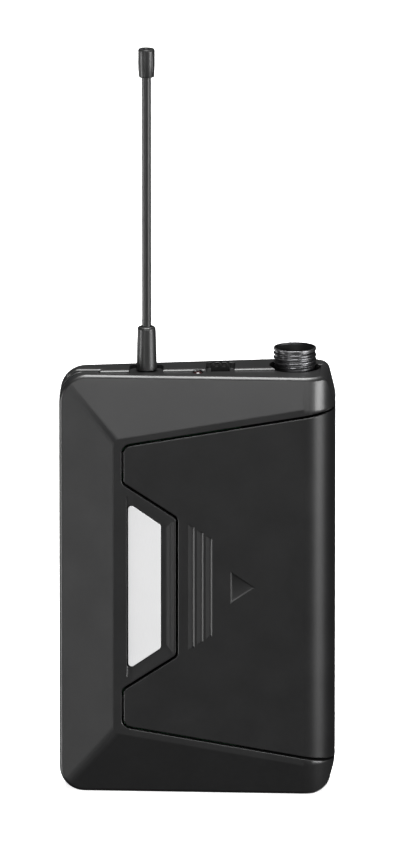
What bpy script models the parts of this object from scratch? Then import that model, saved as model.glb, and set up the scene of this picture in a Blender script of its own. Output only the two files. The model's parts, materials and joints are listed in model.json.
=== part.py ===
"""A belt-pack radio transmitter for a lavalier microphone, standing on its flat bottom.

+X is to the right and +Z is up along the antenna. The flat front faces -Y and the back slopes,
so that the case is thin on the left and thick on the right, where the battery stands.
"""

import math

import bmesh
import bpy
from mathutils import Matrix, Vector

mm = 0.001

# The case
HALF_WIDTH = 31.1 * mm
HEIGHT = 97.0 * mm
MIDDLE = HEIGHT / 2
FRONT = -11.6 * mm
BACK_SLOPE = 0.171
BACK_AT_CENTRE = 6.6 * mm
WALL = 1.6 * mm
GAP = 0.3 * mm
PARTING_DEPTH = 8.1 * mm
FRONT_ROUND = 7.0 * mm
REAR_ROUND = 8.0 * mm
TOP_LEFT_ROUND = 6.5 * mm
LEFT_ROUND = 5.7 * mm
END_HALF_WIDTH = 29.2 * mm
END_TAPER_HEIGHT = 6.5 * mm

# The four sloping faces of the front, which leave a flat rim round the door
RIM_LEFT = -18.8 * mm
RIM_HALF_HEIGHT = 37.33 * mm
FLARE = 0.1703
FACET_SLOPE = 0.16
LEFT_FACET_SLOPE = 0.216

# The battery door
DOOR_GAP = 0.5 * mm
DOOR_WALL = 1.5 * mm
DOOR_LEFT = -16.63 * mm
DOOR_HALF_HEIGHT = 35.48 * mm
NOTCH_RIGHT = -4.35 * mm
NOTCH_OUTER_HALF = 24.0 * mm
NOTCH_INNER_HALF = 16.0 * mm
DOOR_OVERRUN = 34.0 * mm
GROOVE_PLACES = ((-1.1 * mm, 14.6 * mm), (0.9 * mm, 13.3 * mm), (2.9 * mm, 12.0 * mm))
GROOVE_WIDTH = 1.1 * mm
GROOVE_DEPTH = 0.45 * mm
ARROW_LEFT = 7.8 * mm
ARROW_LENGTH = 5.6 * mm
ARROW_HALF_HEIGHT = 3.8 * mm
ARROW_DEPTH = 0.35 * mm

# The nameplate and its recess in the tongue of the front cover
PLATE_LEFT = -15.4 * mm
PLATE_RIGHT = -8.0 * mm
PLATE_LEFT_HALF = 19.4 * mm
PLATE_RIGHT_HALF = 14.3 * mm
PLATE_THICKNESS = 0.4 * mm
RECESS_DEPTH = 1.1 * mm

# The top panel and what stands on it
LIP = 3.7 * mm
PANEL_FRONT = -4.8 * mm
PANEL_SKEW = 0.098
PANEL_LEFT = -29.6 * mm
PANEL_JOG = -22.2 * mm
PANEL_JOG_FRONT = -5.35 * mm
PANEL_RIGHT = 25.0 * mm
PANEL_RISE = 0.5 * mm
PANEL_TOP = HEIGHT + PANEL_RISE
PANEL_BOTTOM = HEIGHT - 1.6 * mm
PANEL_MARGIN = 0.2 * mm
FLANGE_BOTTOM = HEIGHT - 3.4 * mm
FLANGE_REACH = 1.2 * mm
PANEL_CHAMFER = 0.5 * mm
ANTENNA_POCKET_HALF = 3.85 * mm
ANTENNA_POCKET_BACK = 0.3 * mm
ANTENNA_POCKET_FLOOR = HEIGHT - 0.4 * mm
SWITCH_POCKET_HALF = 3.25 * mm
SWITCH_POCKET_REACH = 3.4 * mm
SWITCH_POCKET_FLOOR = HEIGHT - 0.9 * mm
ANTENNA = Vector((-11.5 * mm, -2.3 * mm, 0))
ANTENNA_TOP = 170.9 * mm
TIP_LENGTH = 6.5 * mm
TIP_RADIUS = 1.88 * mm
WHIP_RADIUS = 1.05 * mm
BOOT_TOP = 106.9 * mm
BOOT_RADIUS = 2.35 * mm
SOCKET = Vector((21.9 * mm, 0.9 * mm, 0))
COLLAR_TOP = 101.6 * mm
COLLAR_RADIUS = 4.85 * mm
COLLAR_BORE = 4.1 * mm
WELL_RADIUS = 5.75 * mm
WELL_FLOOR = HEIGHT - 2.3 * mm
COLLAR_ROOT = COLLAR_RADIUS - 0.4 * mm
THREAD_PITCH = 1.0 * mm
INSERT_RADIUS = 3.8 * mm
INSERT_BORE = 3.3 * mm
INSERT_BOTTOM = HEIGHT - 18 * mm
INSERT_FLOOR = HEIGHT + 0.2 * mm
INSERT_TOP = COLLAR_TOP - 0.6 * mm
JACK_RADIUS = 1.8 * mm
JACK_DEPTH = 14.2 * mm
NUT_RADIUS = 6.4 * mm
NUT_HEIGHT = 2.0 * mm
SWITCH = Vector((5.15 * mm, -1.0 * mm, 0))
KNOB_HALF_WIDTH = 2.1 * mm
KNOB_HALF_DEPTH = 1.5 * mm
KNOB_HEIGHT = 1.3 * mm
RIDGE_SPACING = 1.6 * mm
RIDGE_HALF_WIDTH = 0.4 * mm
RIDGE_HEIGHT = 0.6 * mm
STEM_HALF = 0.7 * mm
SLOT_HALF_LENGTH = 2.15 * mm
SLOT_HALF_WIDTH = 1.1 * mm
LAMP = Vector((0.2 * mm, -5.3 * mm, 0))
LAMP_RADIUS = 0.95 * mm

# The electronics
BOARD_FRONT = FRONT + 8.2 * mm
BOARD_THICKNESS = 1.2 * mm
BOARD_LEFT = -22.5 * mm
BOARD_RIGHT = 9.7 * mm
BOARD_BOTTOM = 8 * mm
BOARD_TOP = 85 * mm
INNER_PANEL_FRONT = FRONT + 3.4 * mm
INNER_PANEL_THICKNESS = 1.2 * mm
INNER_PANEL_RIGHT = 11.6 * mm
INNER_PANEL_HALF_HEIGHT = 34.2 * mm
FOOT_PLACES = ((-12.5 * mm, 27.5 * mm), (8.5 * mm, 32.0 * mm))
FOOT_RADIUS = 1.1 * mm
BANK_DIAL = (4.5 * mm, 66.0 * mm)
CHANNEL_DIAL = (4.5 * mm, 50.0 * mm)
LEVEL_DIAL = (4.5 * mm, 32.0 * mm)
SELECTOR_RADIUS = 3.0 * mm
TRIMMER_RADIUS = 2.2 * mm
DIAL_FRONT = FRONT + 2.6 * mm
DIAL_SLOT_DEPTH = 0.8 * mm
DIAL_SLOT_HALF_WIDTH = 0.4 * mm
DIAL_SLOT_SHARE = 0.75

# The battery, one AA cell
CELL = Vector((21.3 * mm, -0.8 * mm, 0))
CELL_RADIUS = 7.1 * mm
CELL_BOTTOM = 21.0 * mm
CELL_LENGTH = 50.5 * mm
CELL_SHOULDER = 1.0 * mm
CELL_CAP_RADIUS = 2.7 * mm
CELL_CLEARANCE = 0.5 * mm
TRAY_LEFT = 12.8 * mm
TRAY_END = 1.5 * mm
CONTACT_ROOM_BELOW = 6.0 * mm
CONTACT_ROOM_ABOVE = 2.1 * mm
SPRING_WIDE = 4.6 * mm
SPRING_NARROW = 2.8 * mm
SPRING_WIRE = 0.35 * mm
SPRING_TURNS = 3.5

# The belt clip, in a frame laid on the sloping back
CLIP_X = -19.5 * mm
CLIP_PIVOT_HEIGHT = 80.0 * mm
CLIP_PIVOT_STANDOFF = 3.4 * mm
CLIP_HALF_WIDTH = 6.5 * mm
CLIP_GAP = 5.4 * mm
CLIP_THICKNESS = 1.6 * mm
CLIP_BOTTOM = 30.0 * mm
CLIP_TOP = 89.0 * mm
BELT_FACE_TOP = -4.0 * mm
BELT_FACE_STEP = 0.3 * mm
LUG_WIDTH = 2.0 * mm
BARREL_RADIUS = 2.4 * mm
PIN_RADIUS = 1.0 * mm
CLIP_NOTCH_HALF = 2.2 * mm
CLIP_SPRING_LENGTH = 3.2 * mm
CLIP_SPRING_RADIUS = 1.75 * mm
CLIP_SPRING_WIRE = 0.28 * mm

# The four screws, which run from the back into bosses of the front cover
SCREW_PLACES = (
    (-26.0 * mm, 7.5 * mm),
    (-26.0 * mm, 89.5 * mm),
    (12.5 * mm, 6.5 * mm),
    (12.5 * mm, 90.3 * mm),
)
BOSS_DEPTH = 5.6 * mm
BOSS_RADIUS = 2.3 * mm
POST_RADIUS = 2.8 * mm
PILOT_RADIUS = 1.1 * mm
SCREW_BORE_RADIUS = 1.2 * mm
HEAD_POCKET_RADIUS = 2.2 * mm
HEAD_POCKET_DEPTH = 2.2 * mm
SHANK_RADIUS = 0.8 * mm
HEAD_RADIUS = 1.8 * mm
HEAD_HEIGHT = 1.3 * mm

ARC_STEPS = 6
ROUND_SIDES = 24
FAR = 0.3


# --- flat outlines -----------------------------------------------------------------------


def back_at(x):
    """y of the outside of the back."""
    return BACK_AT_CENTRE + BACK_SLOPE * x


def front_at(x, z):
    """y of the outside of the front, inside the rounded right edge."""
    side = LEFT_FACET_SLOPE * (RIM_LEFT - x)
    end = FACET_SLOPE * (abs(z - MIDDLE) - RIM_HALF_HEIGHT - FLARE * x)
    return FRONT + max(side, end, 0)


def offset_corners(corners, distance):
    """The same outline with each side moved outwards; corners are (a, b, radius), anticlockwise."""
    count = len(corners)
    sides = []
    for index in range(count):
        start = Vector(corners[index][:2])
        end = Vector(corners[(index + 1) % count][:2])
        along = (end - start).normalized()
        outward = Vector((along.y, -along.x))
        sides.append((start + outward * distance, along))
    moved = []
    for index in range(count):
        before, along_before = sides[index - 1]
        after, along_after = sides[index]
        turn = along_before.cross(along_after)
        reach = (after - before).cross(along_after) / turn
        point = before + along_before * reach
        radius = corners[index][2]
        grown = radius + math.copysign(distance, turn * distance) if radius else 0
        moved.append((point.x, point.y, max(grown, 0)))
    return moved


def fillet(corners, steps=ARC_STEPS):
    """The outline's points, with an arc at each corner that has a radius."""
    points = []
    count = len(corners)
    for index in range(count):
        here = Vector(corners[index][:2])
        radius = corners[index][2]
        if radius <= 0:
            points.append(here)
            continue
        to_last = (Vector(corners[index - 1][:2]) - here).normalized()
        to_next = (Vector(corners[(index + 1) % count][:2]) - here).normalized()
        half_angle = to_last.angle(to_next) / 2
        centre = here + (to_last + to_next).normalized() * (radius / math.sin(half_angle))
        start = here + to_last * (radius / math.tan(half_angle)) - centre
        turned = (math.pi - 2 * half_angle) * math.copysign(1, to_next.cross(to_last))
        for step in range(steps + 1):
            arm = start.copy()
            arm.rotate(Matrix.Rotation(turned * step / steps, 2))
            points.append(centre + arm)
    return points


def ring_points(radius, sides=ROUND_SIDES):
    turn = 2 * math.pi / sides
    return [Vector((radius * math.cos(turn * k), radius * math.sin(turn * k))) for k in range(sides)]


def plan_corners():
    """The case seen from above, as (x, y, radius), with its front right edge still square."""
    return [
        (-HALF_WIDTH, FRONT, 0),
        (HALF_WIDTH, FRONT, 0),
        (HALF_WIDTH, back_at(HALF_WIDTH), REAR_ROUND),
        (-HALF_WIDTH, back_at(-HALF_WIDTH), 1.5 * mm),
    ]


def face_corners(top_left_round):
    """The case seen from the front, as (x, z, radius)."""
    return [
        (-HALF_WIDTH, 0, LEFT_ROUND),
        (END_HALF_WIDTH, 0, 4.5 * mm),
        (HALF_WIDTH, END_TAPER_HEIGHT, 3 * mm),
        (HALF_WIDTH, HEIGHT - END_TAPER_HEIGHT, 3 * mm),
        (END_HALF_WIDTH, HEIGHT, 2 * mm),
        (-HALF_WIDTH, HEIGHT, top_left_round),
    ]


def door_corners():
    """The middle of the gap round the door, seen from the front, as (x, z, radius)."""
    upper = [
        (DOOR_OVERRUN, DOOR_HALF_HEIGHT + FLARE * DOOR_OVERRUN, 0),
        (DOOR_LEFT, DOOR_HALF_HEIGHT + FLARE * DOOR_LEFT, 2.0 * mm),
        (DOOR_LEFT, NOTCH_OUTER_HALF, 1.4 * mm),
        (NOTCH_RIGHT, NOTCH_INNER_HALF, 1.4 * mm),
    ]
    lower = [(x, -half, radius) for x, half, radius in reversed(upper)]
    return [(x, MIDDLE + rise, radius) for x, rise, radius in upper + lower]


def tapered_corners(left, right, left_half, right_half, radius):
    """A plate whose slanted ends leave its left side longer than its right, as (x, z, radius)."""
    return [
        (left, MIDDLE - left_half, radius),
        (right, MIDDLE - right_half, radius),
        (right, MIDDLE + right_half, radius),
        (left, MIDDLE + left_half, radius),
    ]


def panel_front_at(x):
    """y of the front of the opening for the top panel, to the right of its jog."""
    return PANEL_FRONT + PANEL_SKEW * x


def panel_corners():
    """The opening for the top panel, seen from above, as (x, y, radius)."""
    return [
        (PANEL_LEFT, PANEL_JOG_FRONT, 1.5 * mm),
        (PANEL_JOG, PANEL_JOG_FRONT, 0),
        (PANEL_JOG, panel_front_at(PANEL_JOG), 0),
        (PANEL_RIGHT, panel_front_at(PANEL_RIGHT), 0.8 * mm),
        (PANEL_RIGHT, back_at(PANEL_RIGHT) - LIP, 3 * mm),
        (PANEL_LEFT, back_at(PANEL_LEFT) - LIP, 1.5 * mm),
    ]


# --- solids ------------------------------------------------------------------------------


def new_object(name, bm):
    mesh = bpy.data.meshes.new(name)
    bmesh.ops.recalc_face_normals(bm, faces=bm.faces)
    bm.to_mesh(mesh)
    bm.free()
    made = bpy.data.objects.new(name, mesh)
    bpy.context.scene.collection.objects.link(made)
    return made


def loft(name, *rings):
    """A closed solid through rings of points that match one to one, with flat ends."""
    bm = bmesh.new()
    loops = [[bm.verts.new(point) for point in ring] for ring in rings]
    bm.faces.new(loops[0])
    bm.faces.new(loops[-1])
    for lower, upper in zip(loops, loops[1:]):
        for index in range(len(lower)):
            after = (index + 1) % len(lower)
            bm.faces.new((lower[index], lower[after], upper[after], upper[index]))
    return new_object(name, bm)


def prism_y(name, outline, near, far, far_outline=None):
    """An outline in X and Z, run from one y to another."""
    ends = ((outline, near), (far_outline or outline, far))
    return loft(name, *[[(p.x, y, p.y) for p in points] for points, y in ends])


def prism_z(name, outline, low, high, high_outline=None):
    """An outline in X and Y, run from one height to another."""
    ends = ((outline, low), (high_outline or outline, high))
    return loft(name, *[[(p.x, p.y, z) for p in points] for points, z in ends])


def box(name, low, high):
    corners = [(low[0], low[1], 0), (high[0], low[1], 0), (high[0], high[1], 0), (low[0], high[1], 0)]
    return prism_z(name, fillet(corners), low[2], high[2])


def turned_z(name, centre, profile, sides=ROUND_SIDES):
    """A solid turned about an upright axis; profile is (radius, height), from the bottom up."""
    rings = []
    for radius, height in profile:
        ring = ring_points(radius, sides)
        rings.append([(centre.x + p.x, centre.y + p.y, height) for p in ring])
    return loft(name, *rings)


def turned_y(name, x, z, profile, sides=ROUND_SIDES):
    """A solid turned about an axis along Y; profile is (radius, y)."""
    rings = []
    for radius, y in profile:
        rings.append([(x + p.x, y, z + p.y) for p in ring_points(radius, sides)])
    return loft(name, *rings)


def coil(name, centre, axis_matrix, radius_at, length, turns, wire, sides=6, steps=14):
    """A wire wound into a helix along the matrix's third axis."""
    rings = []
    total = int(turns * steps)
    for step in range(total + 1):
        share = step / total
        angle = 2 * math.pi * turns * share
        radius = radius_at(share)
        outward = Vector((math.cos(angle), math.sin(angle), 0))
        middle = outward * radius + Vector((0, 0, length * share))
        ring = []
        for side in range(sides):
            around = 2 * math.pi * side / sides
            across = outward * math.cos(around) + Vector((0, 0, math.sin(around)))
            ring.append(centre + axis_matrix @ (middle + across * wire))
        rings.append(ring)
    return loft(name, *rings)


def combine(target, others, operation):
    """Joins, cuts or trims the target with the other solids, which are used up."""
    for other in others:
        step = target.modifiers.new(operation.title(), "BOOLEAN")
        step.operation = operation
        step.solver = "EXACT"
        step.object = other
    bpy.context.view_layer.update()
    graph = bpy.context.evaluated_depsgraph_get()
    result = bpy.data.meshes.new_from_object(target.evaluated_get(graph))
    target.modifiers.clear()
    target.data = result
    result.name = target.name
    for other in others:
        bpy.data.objects.remove(other)
    return target


def cut(target, *cutters):
    return combine(target, cutters, "DIFFERENCE")


def join(target, *others):
    return combine(target, others, "UNION")


def trim(target, limit):
    return combine(target, [limit], "INTERSECT")


def side_planes(points, lift):
    """Planes along an outline's sides, facing out; lift turns a flat vector into a solid one."""
    planes = []
    for start, end in zip(points, points[1:] + points[:1]):
        along = (end - start).normalized()
        planes.append((lift(start), lift(Vector((along.y, -along.x)))))
    return planes


def round_planes(first, second, radius, steps=ARC_STEPS):
    """Planes round the edge where two planes meet, all touching a cylinder of that radius."""
    (point_a, normal_a), (point_b, normal_b) = first, second
    reach_a = normal_a.dot(point_a) - radius
    reach_b = normal_b.dot(point_b) - radius
    lean = normal_a.dot(normal_b)
    share_a = (reach_a - lean * reach_b) / (1 - lean * lean)
    share_b = (reach_b - lean * reach_a) / (1 - lean * lean)
    centre = normal_a * share_a + normal_b * share_b
    normals = [normal_a.slerp(normal_b, step / steps) for step in range(1, steps)]
    return [(centre + normal * radius, normal) for normal in normals]


def front_planes():
    """The front's three sloping faces, and its round turn to the right side."""
    flat = (Vector((0, FRONT, 0)), Vector((0, -1, 0)))
    right = (Vector((HALF_WIDTH, 0, 0)), Vector((1, 0, 0)))
    left_normal = Vector((-LEFT_FACET_SLOPE, -1, 0)).normalized()
    planes = [(Vector((RIM_LEFT, FRONT, 0)), left_normal)]
    planes += round_planes(flat, right, FRONT_ROUND)
    for side in (1, -1):
        point = Vector((0, FRONT, MIDDLE + side * RIM_HALF_HEIGHT))
        normal = Vector((-FLARE * FACET_SLOPE, -1, side * FACET_SLOPE)).normalized()
        planes.append((point, normal))
        planes += round_planes((point, normal), right, FRONT_ROUND)
    return planes


def back_frame():
    """Unit vectors along the sloping back and out of it."""
    along = Vector((1, BACK_SLOPE, 0)).normalized()
    return along, Vector((-along.y, along.x, 0))


def parting_point(shift=0.0):
    return Vector((0, BACK_AT_CENTRE - PARTING_DEPTH + shift, 0))


def case_body(name, inset, top_left_round, extra=()):
    """The convex outer shape of the case, with every face moved inwards by the inset."""
    planes = side_planes(fillet(plan_corners()), lambda p: Vector((p.x, p.y, 0)))
    planes += side_planes(fillet(face_corners(top_left_round)), lambda p: Vector((p.x, 0, p.y)))
    planes += front_planes()
    planes = [(point - normal * inset, normal) for point, normal in planes]
    bm = bmesh.new()
    bmesh.ops.create_cube(bm, size=FAR)
    for point, normal in planes + list(extra):
        everything = bm.verts[:] + bm.edges[:] + bm.faces[:]
        sliced = bmesh.ops.bisect_plane(
            bm, geom=everything, dist=1e-8, plane_co=point, plane_no=normal, clear_outer=True
        )
        edges = [part for part in sliced["geom_cut"] if isinstance(part, bmesh.types.BMEdge)]
        open_edges = [edge for edge in edges if edge.is_boundary]
        if open_edges:
            bmesh.ops.edgeloop_fill(bm, edges=open_edges)
    bmesh.ops.remove_doubles(bm, verts=bm.verts, dist=2e-6)
    return new_object(name, bm)


def cavity(inset=WALL):
    return case_body("cavity", inset, TOP_LEFT_ROUND)


def door_prism(margin, near=FRONT - 5 * mm, far=FRONT + 30 * mm):
    outline = fillet(offset_corners(door_corners(), margin))
    return prism_y("door_prism", outline, near, far)


def panel_prism(margin, low, high):
    """The opening for the top panel, with the round well in which the microphone collar stands."""
    plate = prism_z("panel_prism", fillet(offset_corners(panel_corners(), margin)), low, high)
    radius = WELL_RADIUS + margin
    return join(plate, turned_z("well", SOCKET, [(radius, low), (radius, high)]))


# --- materials ---------------------------------------------------------------------------


def finish(piece, colour, roughness, metallic=0.0):
    """Gives a piece its own material and smooth round faces."""
    material = bpy.data.materials.new(piece.name)
    material.use_nodes = True
    shader = material.node_tree.nodes["Principled BSDF"]
    shader.inputs["Base Color"].default_value = (*colour, 1)
    shader.inputs["Roughness"].default_value = roughness
    shader.inputs["Metallic"].default_value = metallic
    piece.data.materials.clear()
    piece.data.materials.append(material)
    for face in piece.data.polygons:
        face.material_index = 0
    piece.data.shade_smooth()
    piece.data.set_sharp_from_angle(angle=math.radians(32))
    return piece


CASE_BLACK = (0.028, 0.028, 0.029)
DEEP_BLACK = (0.012, 0.012, 0.012)
SILVER = (0.78, 0.78, 0.79)
STEEL = (0.55, 0.55, 0.56)
BRASS = (0.72, 0.55, 0.28)
BOARD_GREEN = (0.03, 0.14, 0.06)
IVORY = (0.72, 0.70, 0.62)


# --- the case ----------------------------------------------------------------------------


def front_cover():
    behind = (parting_point(), Vector((-BACK_SLOPE, 1, 0)).normalized())
    cover = case_body("front_cover", 0, TOP_LEFT_ROUND, [behind])
    cut(cover, cavity())
    for x, z in SCREW_PLACES:
        end = back_at(x) - BOSS_DEPTH
        start = front_at(x, z) + 1.0 * mm
        join(cover, turned_y("boss", x, z, [(BOSS_RADIUS, start), (BOSS_RADIUS, end)], 16))
        pilot = [(PILOT_RADIUS, start + WALL), (PILOT_RADIUS, end + GAP)]
        cut(cover, turned_y("hole", x, z, pilot, 12))
    # The tongue is thick enough to hold the nameplate's recess.
    tongue = tapered_corners(RIM_LEFT, NOTCH_RIGHT + GAP, 25.4 * mm, 15.8 * mm, 0)
    join(cover, prism_y("tongue", fillet(tongue), FRONT + 1.0 * mm, FRONT + 2.4 * mm))
    cut(cover, door_prism(DOOR_GAP / 2))
    floor = tapered_corners(PLATE_LEFT - GAP, -6.9 * mm, 20.1 * mm, 14.0 * mm, 0.9 * mm)
    mouth = tapered_corners(PLATE_LEFT - GAP, -5.4 * mm, 22.3 * mm, 15.6 * mm, 0.9 * mm)
    depth = FRONT + RECESS_DEPTH
    recess = prism_y("recess", fillet(mouth), FRONT, depth, fillet(floor))
    lead_in = prism_y("lead_in", fillet(mouth), FRONT - 1 * mm, FRONT + 0.01 * mm)
    cut(cover, join(recess, lead_in))
    cut(cover, panel_prism(0, HEIGHT - 5 * mm, HEIGHT + 5 * mm), lamp_bore())
    return finish(cover, CASE_BLACK, 0.42)


def lamp_bore():
    """The hole for the lamp, which opens at the seam between the front cover and the top panel."""
    profile = [(LAMP_RADIUS + GAP, FLANGE_BOTTOM - 1 * mm), (LAMP_RADIUS + GAP, HEIGHT + 2 * mm)]
    return turned_z("lamp_bore", LAMP, profile)


def clip_matrix():
    """Places a shape drawn across, out of and up the back: the origin is under the clip's pivot."""
    along, outward = back_frame()
    origin = Vector((CLIP_X, back_at(CLIP_X), CLIP_PIVOT_HEIGHT))
    columns = (along, outward, Vector((0, 0, 1)), origin)
    rows = [[column[row] for column in columns] for row in range(3)]
    return Matrix(rows + [[0, 0, 0, 1]])


def across_prism(name, outline, half_width, centre=0.0):
    """An outline in the clip frame's outward and upward axes, run across the back."""
    place = clip_matrix()
    rings = []
    for across in (centre - half_width, centre + half_width):
        rings.append([place @ Vector((across, p.x, p.y)) for p in outline])
    return loft(name, *rings)


def shifted(points, out, up):
    return [p + Vector((out, up)) for p in points]


def clip_lugs():
    """Two lugs on the back that hold the clip's pin."""
    lugs = []
    for side in (-1, 1):
        centre = side * (CLIP_HALF_WIDTH + GAP + LUG_WIDTH / 2)
        corners = [
            (-1.0 * mm, -5.5 * mm, 0),
            (CLIP_PIVOT_STANDOFF + BARREL_RADIUS, -BARREL_RADIUS, BARREL_RADIUS * 0.9),
            (CLIP_PIVOT_STANDOFF + BARREL_RADIUS, BARREL_RADIUS, BARREL_RADIUS * 0.9),
            (-1.0 * mm, 5.5 * mm, 0),
        ]
        lug = across_prism("lug", fillet(corners), LUG_WIDTH / 2, centre)
        hole = shifted(ring_points(PIN_RADIUS + GAP, 16), CLIP_PIVOT_STANDOFF, 0)
        lugs.append(cut(lug, across_prism("hole", hole, LUG_WIDTH, centre)))
    return lugs


def rear_cover():
    ahead = (parting_point(GAP), Vector((BACK_SLOPE, -1, 0)).normalized())
    cover = case_body("rear_cover", 0, LEFT_ROUND, [ahead])
    cut(cover, cavity())
    for x, z in SCREW_PLACES:
        start = back_at(x) - BOSS_DEPTH + GAP
        beyond = back_at(x) + 2 * mm
        post = [(POST_RADIUS, start), (POST_RADIUS, back_at(x) - WALL / 2)]
        join(cover, turned_y("post", x, z, post, 16))
        bore = [(SCREW_BORE_RADIUS, start - GAP), (SCREW_BORE_RADIUS, beyond)]
        head = [(HEAD_POCKET_RADIUS, back_at(x) - HEAD_POCKET_DEPTH), (HEAD_POCKET_RADIUS, beyond)]
        cut(cover, turned_y("bore", x, z, bore, 12), turned_y("head", x, z, head, 16))
    cut(cover, panel_prism(0, HEIGHT - 5 * mm, HEIGHT + 5 * mm))
    join(cover, *clip_lugs())
    return finish(cover, CASE_BLACK, 0.45)


def battery_door():
    behind = (parting_point(-GAP), Vector((-BACK_SLOPE, 1, 0)).normalized())
    door = case_body("battery_door", 0, TOP_LEFT_ROUND, [behind])
    cut(door, cavity(DOOR_WALL))
    trim(door, door_prism(-DOOR_GAP / 2))
    for side in (-1, 1):
        low, high = sorted((MIDDLE + side * 26 * mm, MIDDLE + side * 31 * mm))
        tab = box("tab", (DOOR_LEFT - 1.6 * mm, FRONT + 1.9 * mm, low), (-13 * mm, FRONT + 2.7 * mm, high))
        stem = box("stem", (-15.8 * mm, FRONT + 1.2 * mm, low), (-13 * mm, FRONT + 2.2 * mm, high))
        join(door, tab, stem)
    for x, half in GROOVE_PLACES:
        ends = tapered_corners(x - GROOVE_WIDTH / 2, x + GROOVE_WIDTH / 2, half, half - 0.7 * mm, 0)
        cut(door, prism_y("groove", fillet(ends), FRONT - 1 * mm, FRONT + GROOVE_DEPTH))
    arrow = [
        (ARROW_LEFT, MIDDLE - ARROW_HALF_HEIGHT, 0),
        (ARROW_LEFT + ARROW_LENGTH, MIDDLE, 0),
        (ARROW_LEFT, MIDDLE + ARROW_HALF_HEIGHT, 0),
    ]
    cut(door, prism_y("arrow", fillet(arrow), FRONT - 1 * mm, FRONT + ARROW_DEPTH))
    return finish(door, CASE_BLACK, 0.4)


def nameplate():
    corners = tapered_corners(PLATE_LEFT, PLATE_RIGHT, PLATE_LEFT_HALF, PLATE_RIGHT_HALF, 0.8 * mm)
    back = FRONT + RECESS_DEPTH - GAP
    plate = prism_y("nameplate", fillet(corners), back - PLATE_THICKNESS, back)
    return finish(plate, SILVER, 0.5, 0.3)


def top_panel():
    outline = fillet(offset_corners(panel_corners(), -PANEL_MARGIN))
    inner = fillet(offset_corners(panel_corners(), -PANEL_MARGIN - PANEL_CHAMFER))
    rings = (
        [(p.x, p.y, PANEL_BOTTOM - 1 * mm) for p in outline],
        [(p.x, p.y, PANEL_TOP - PANEL_CHAMFER) for p in outline],
        [(p.x, p.y, PANEL_TOP) for p in inner],
    )
    # The left end follows the round shoulder of the case.
    panel = trim(loft("top_panel", *rings), case_body("limit", -PANEL_RISE, LEFT_ROUND))
    flange = panel_prism(FLANGE_REACH, FLANGE_BOTTOM, PANEL_BOTTOM - GAP)
    join(panel, trim(flange, cavity(WALL + GAP)))
    pocket = [
        (ANTENNA.x - ANTENNA_POCKET_HALF, FRONT, 0),
        (ANTENNA.x + ANTENNA_POCKET_HALF, FRONT, 0),
        (ANTENNA.x + ANTENNA_POCKET_HALF, ANTENNA_POCKET_BACK, 2.5 * mm),
        (ANTENNA.x - ANTENNA_POCKET_HALF, ANTENNA_POCKET_BACK, 2.5 * mm),
    ]
    cut(panel, prism_z("pocket", fillet(pocket), ANTENNA_POCKET_FLOOR, HEIGHT + 2 * mm))
    switch_pocket = [
        (SWITCH.x - SWITCH_POCKET_HALF, FRONT, 0),
        (SWITCH.x + SWITCH_POCKET_HALF, FRONT, 0),
        (SWITCH.x + SWITCH_POCKET_HALF, SWITCH.y + SWITCH_POCKET_REACH, 0.6 * mm),
        (SWITCH.x - SWITCH_POCKET_HALF, SWITCH.y + SWITCH_POCKET_REACH, 0.6 * mm),
    ]
    cut(panel, prism_z("pocket", fillet(switch_pocket), SWITCH_POCKET_FLOOR, HEIGHT + 2 * mm))
    below, above = FLANGE_BOTTOM - 1 * mm, HEIGHT + 2 * mm
    cut(panel, turned_z("well", SOCKET, [(WELL_RADIUS, WELL_FLOOR), (WELL_RADIUS, above)]), lamp_bore())
    for place, radius in ((ANTENNA, WHIP_RADIUS + GAP), (SOCKET, COLLAR_RADIUS + GAP)):
        cut(panel, turned_z("hole", place, [(radius, below), (radius, above)]))
    slot_low = (SWITCH.x - SLOT_HALF_LENGTH, SWITCH.y - SLOT_HALF_WIDTH, below)
    slot_high = (SWITCH.x + SLOT_HALF_LENGTH, SWITCH.y + SLOT_HALF_WIDTH, above)
    cut(panel, box("slot", slot_low, slot_high))
    return finish(panel, CASE_BLACK, 0.35)


def inner_panel():
    """The plate behind the door, which covers the board and lets the dials through."""
    panel = door_prism(-1.3 * mm, INNER_PANEL_FRONT, INNER_PANEL_FRONT + INNER_PANEL_THICKNESS)
    panel.name = "inner_panel"
    low = (DOOR_LEFT - 1 * mm, FRONT, MIDDLE - INNER_PANEL_HALF_HEIGHT)
    high = (INNER_PANEL_RIGHT, BOARD_FRONT, MIDDLE + INNER_PANEL_HALF_HEIGHT)
    trim(panel, box("limit", low, high))
    for x, half in FOOT_PLACES:
        for side in (-1, 1):
            start = INNER_PANEL_FRONT + INNER_PANEL_THICKNESS / 2
            profile = [(FOOT_RADIUS, start), (FOOT_RADIUS, BOARD_FRONT - GAP)]
            join(panel, turned_y("foot", x, MIDDLE + side * half, profile, 12))
    for (x, z), radius in (
        (BANK_DIAL, SELECTOR_RADIUS),
        (CHANNEL_DIAL, SELECTOR_RADIUS),
        (LEVEL_DIAL, TRIMMER_RADIUS),
    ):
        hole = radius + 0.4 * mm
        cut(panel, turned_y("hole", x, z, [(hole, FRONT), (hole, BOARD_FRONT)]))
    return finish(panel, CASE_BLACK, 0.5)


# --- the antenna -------------------------------------------------------------------------


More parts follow.
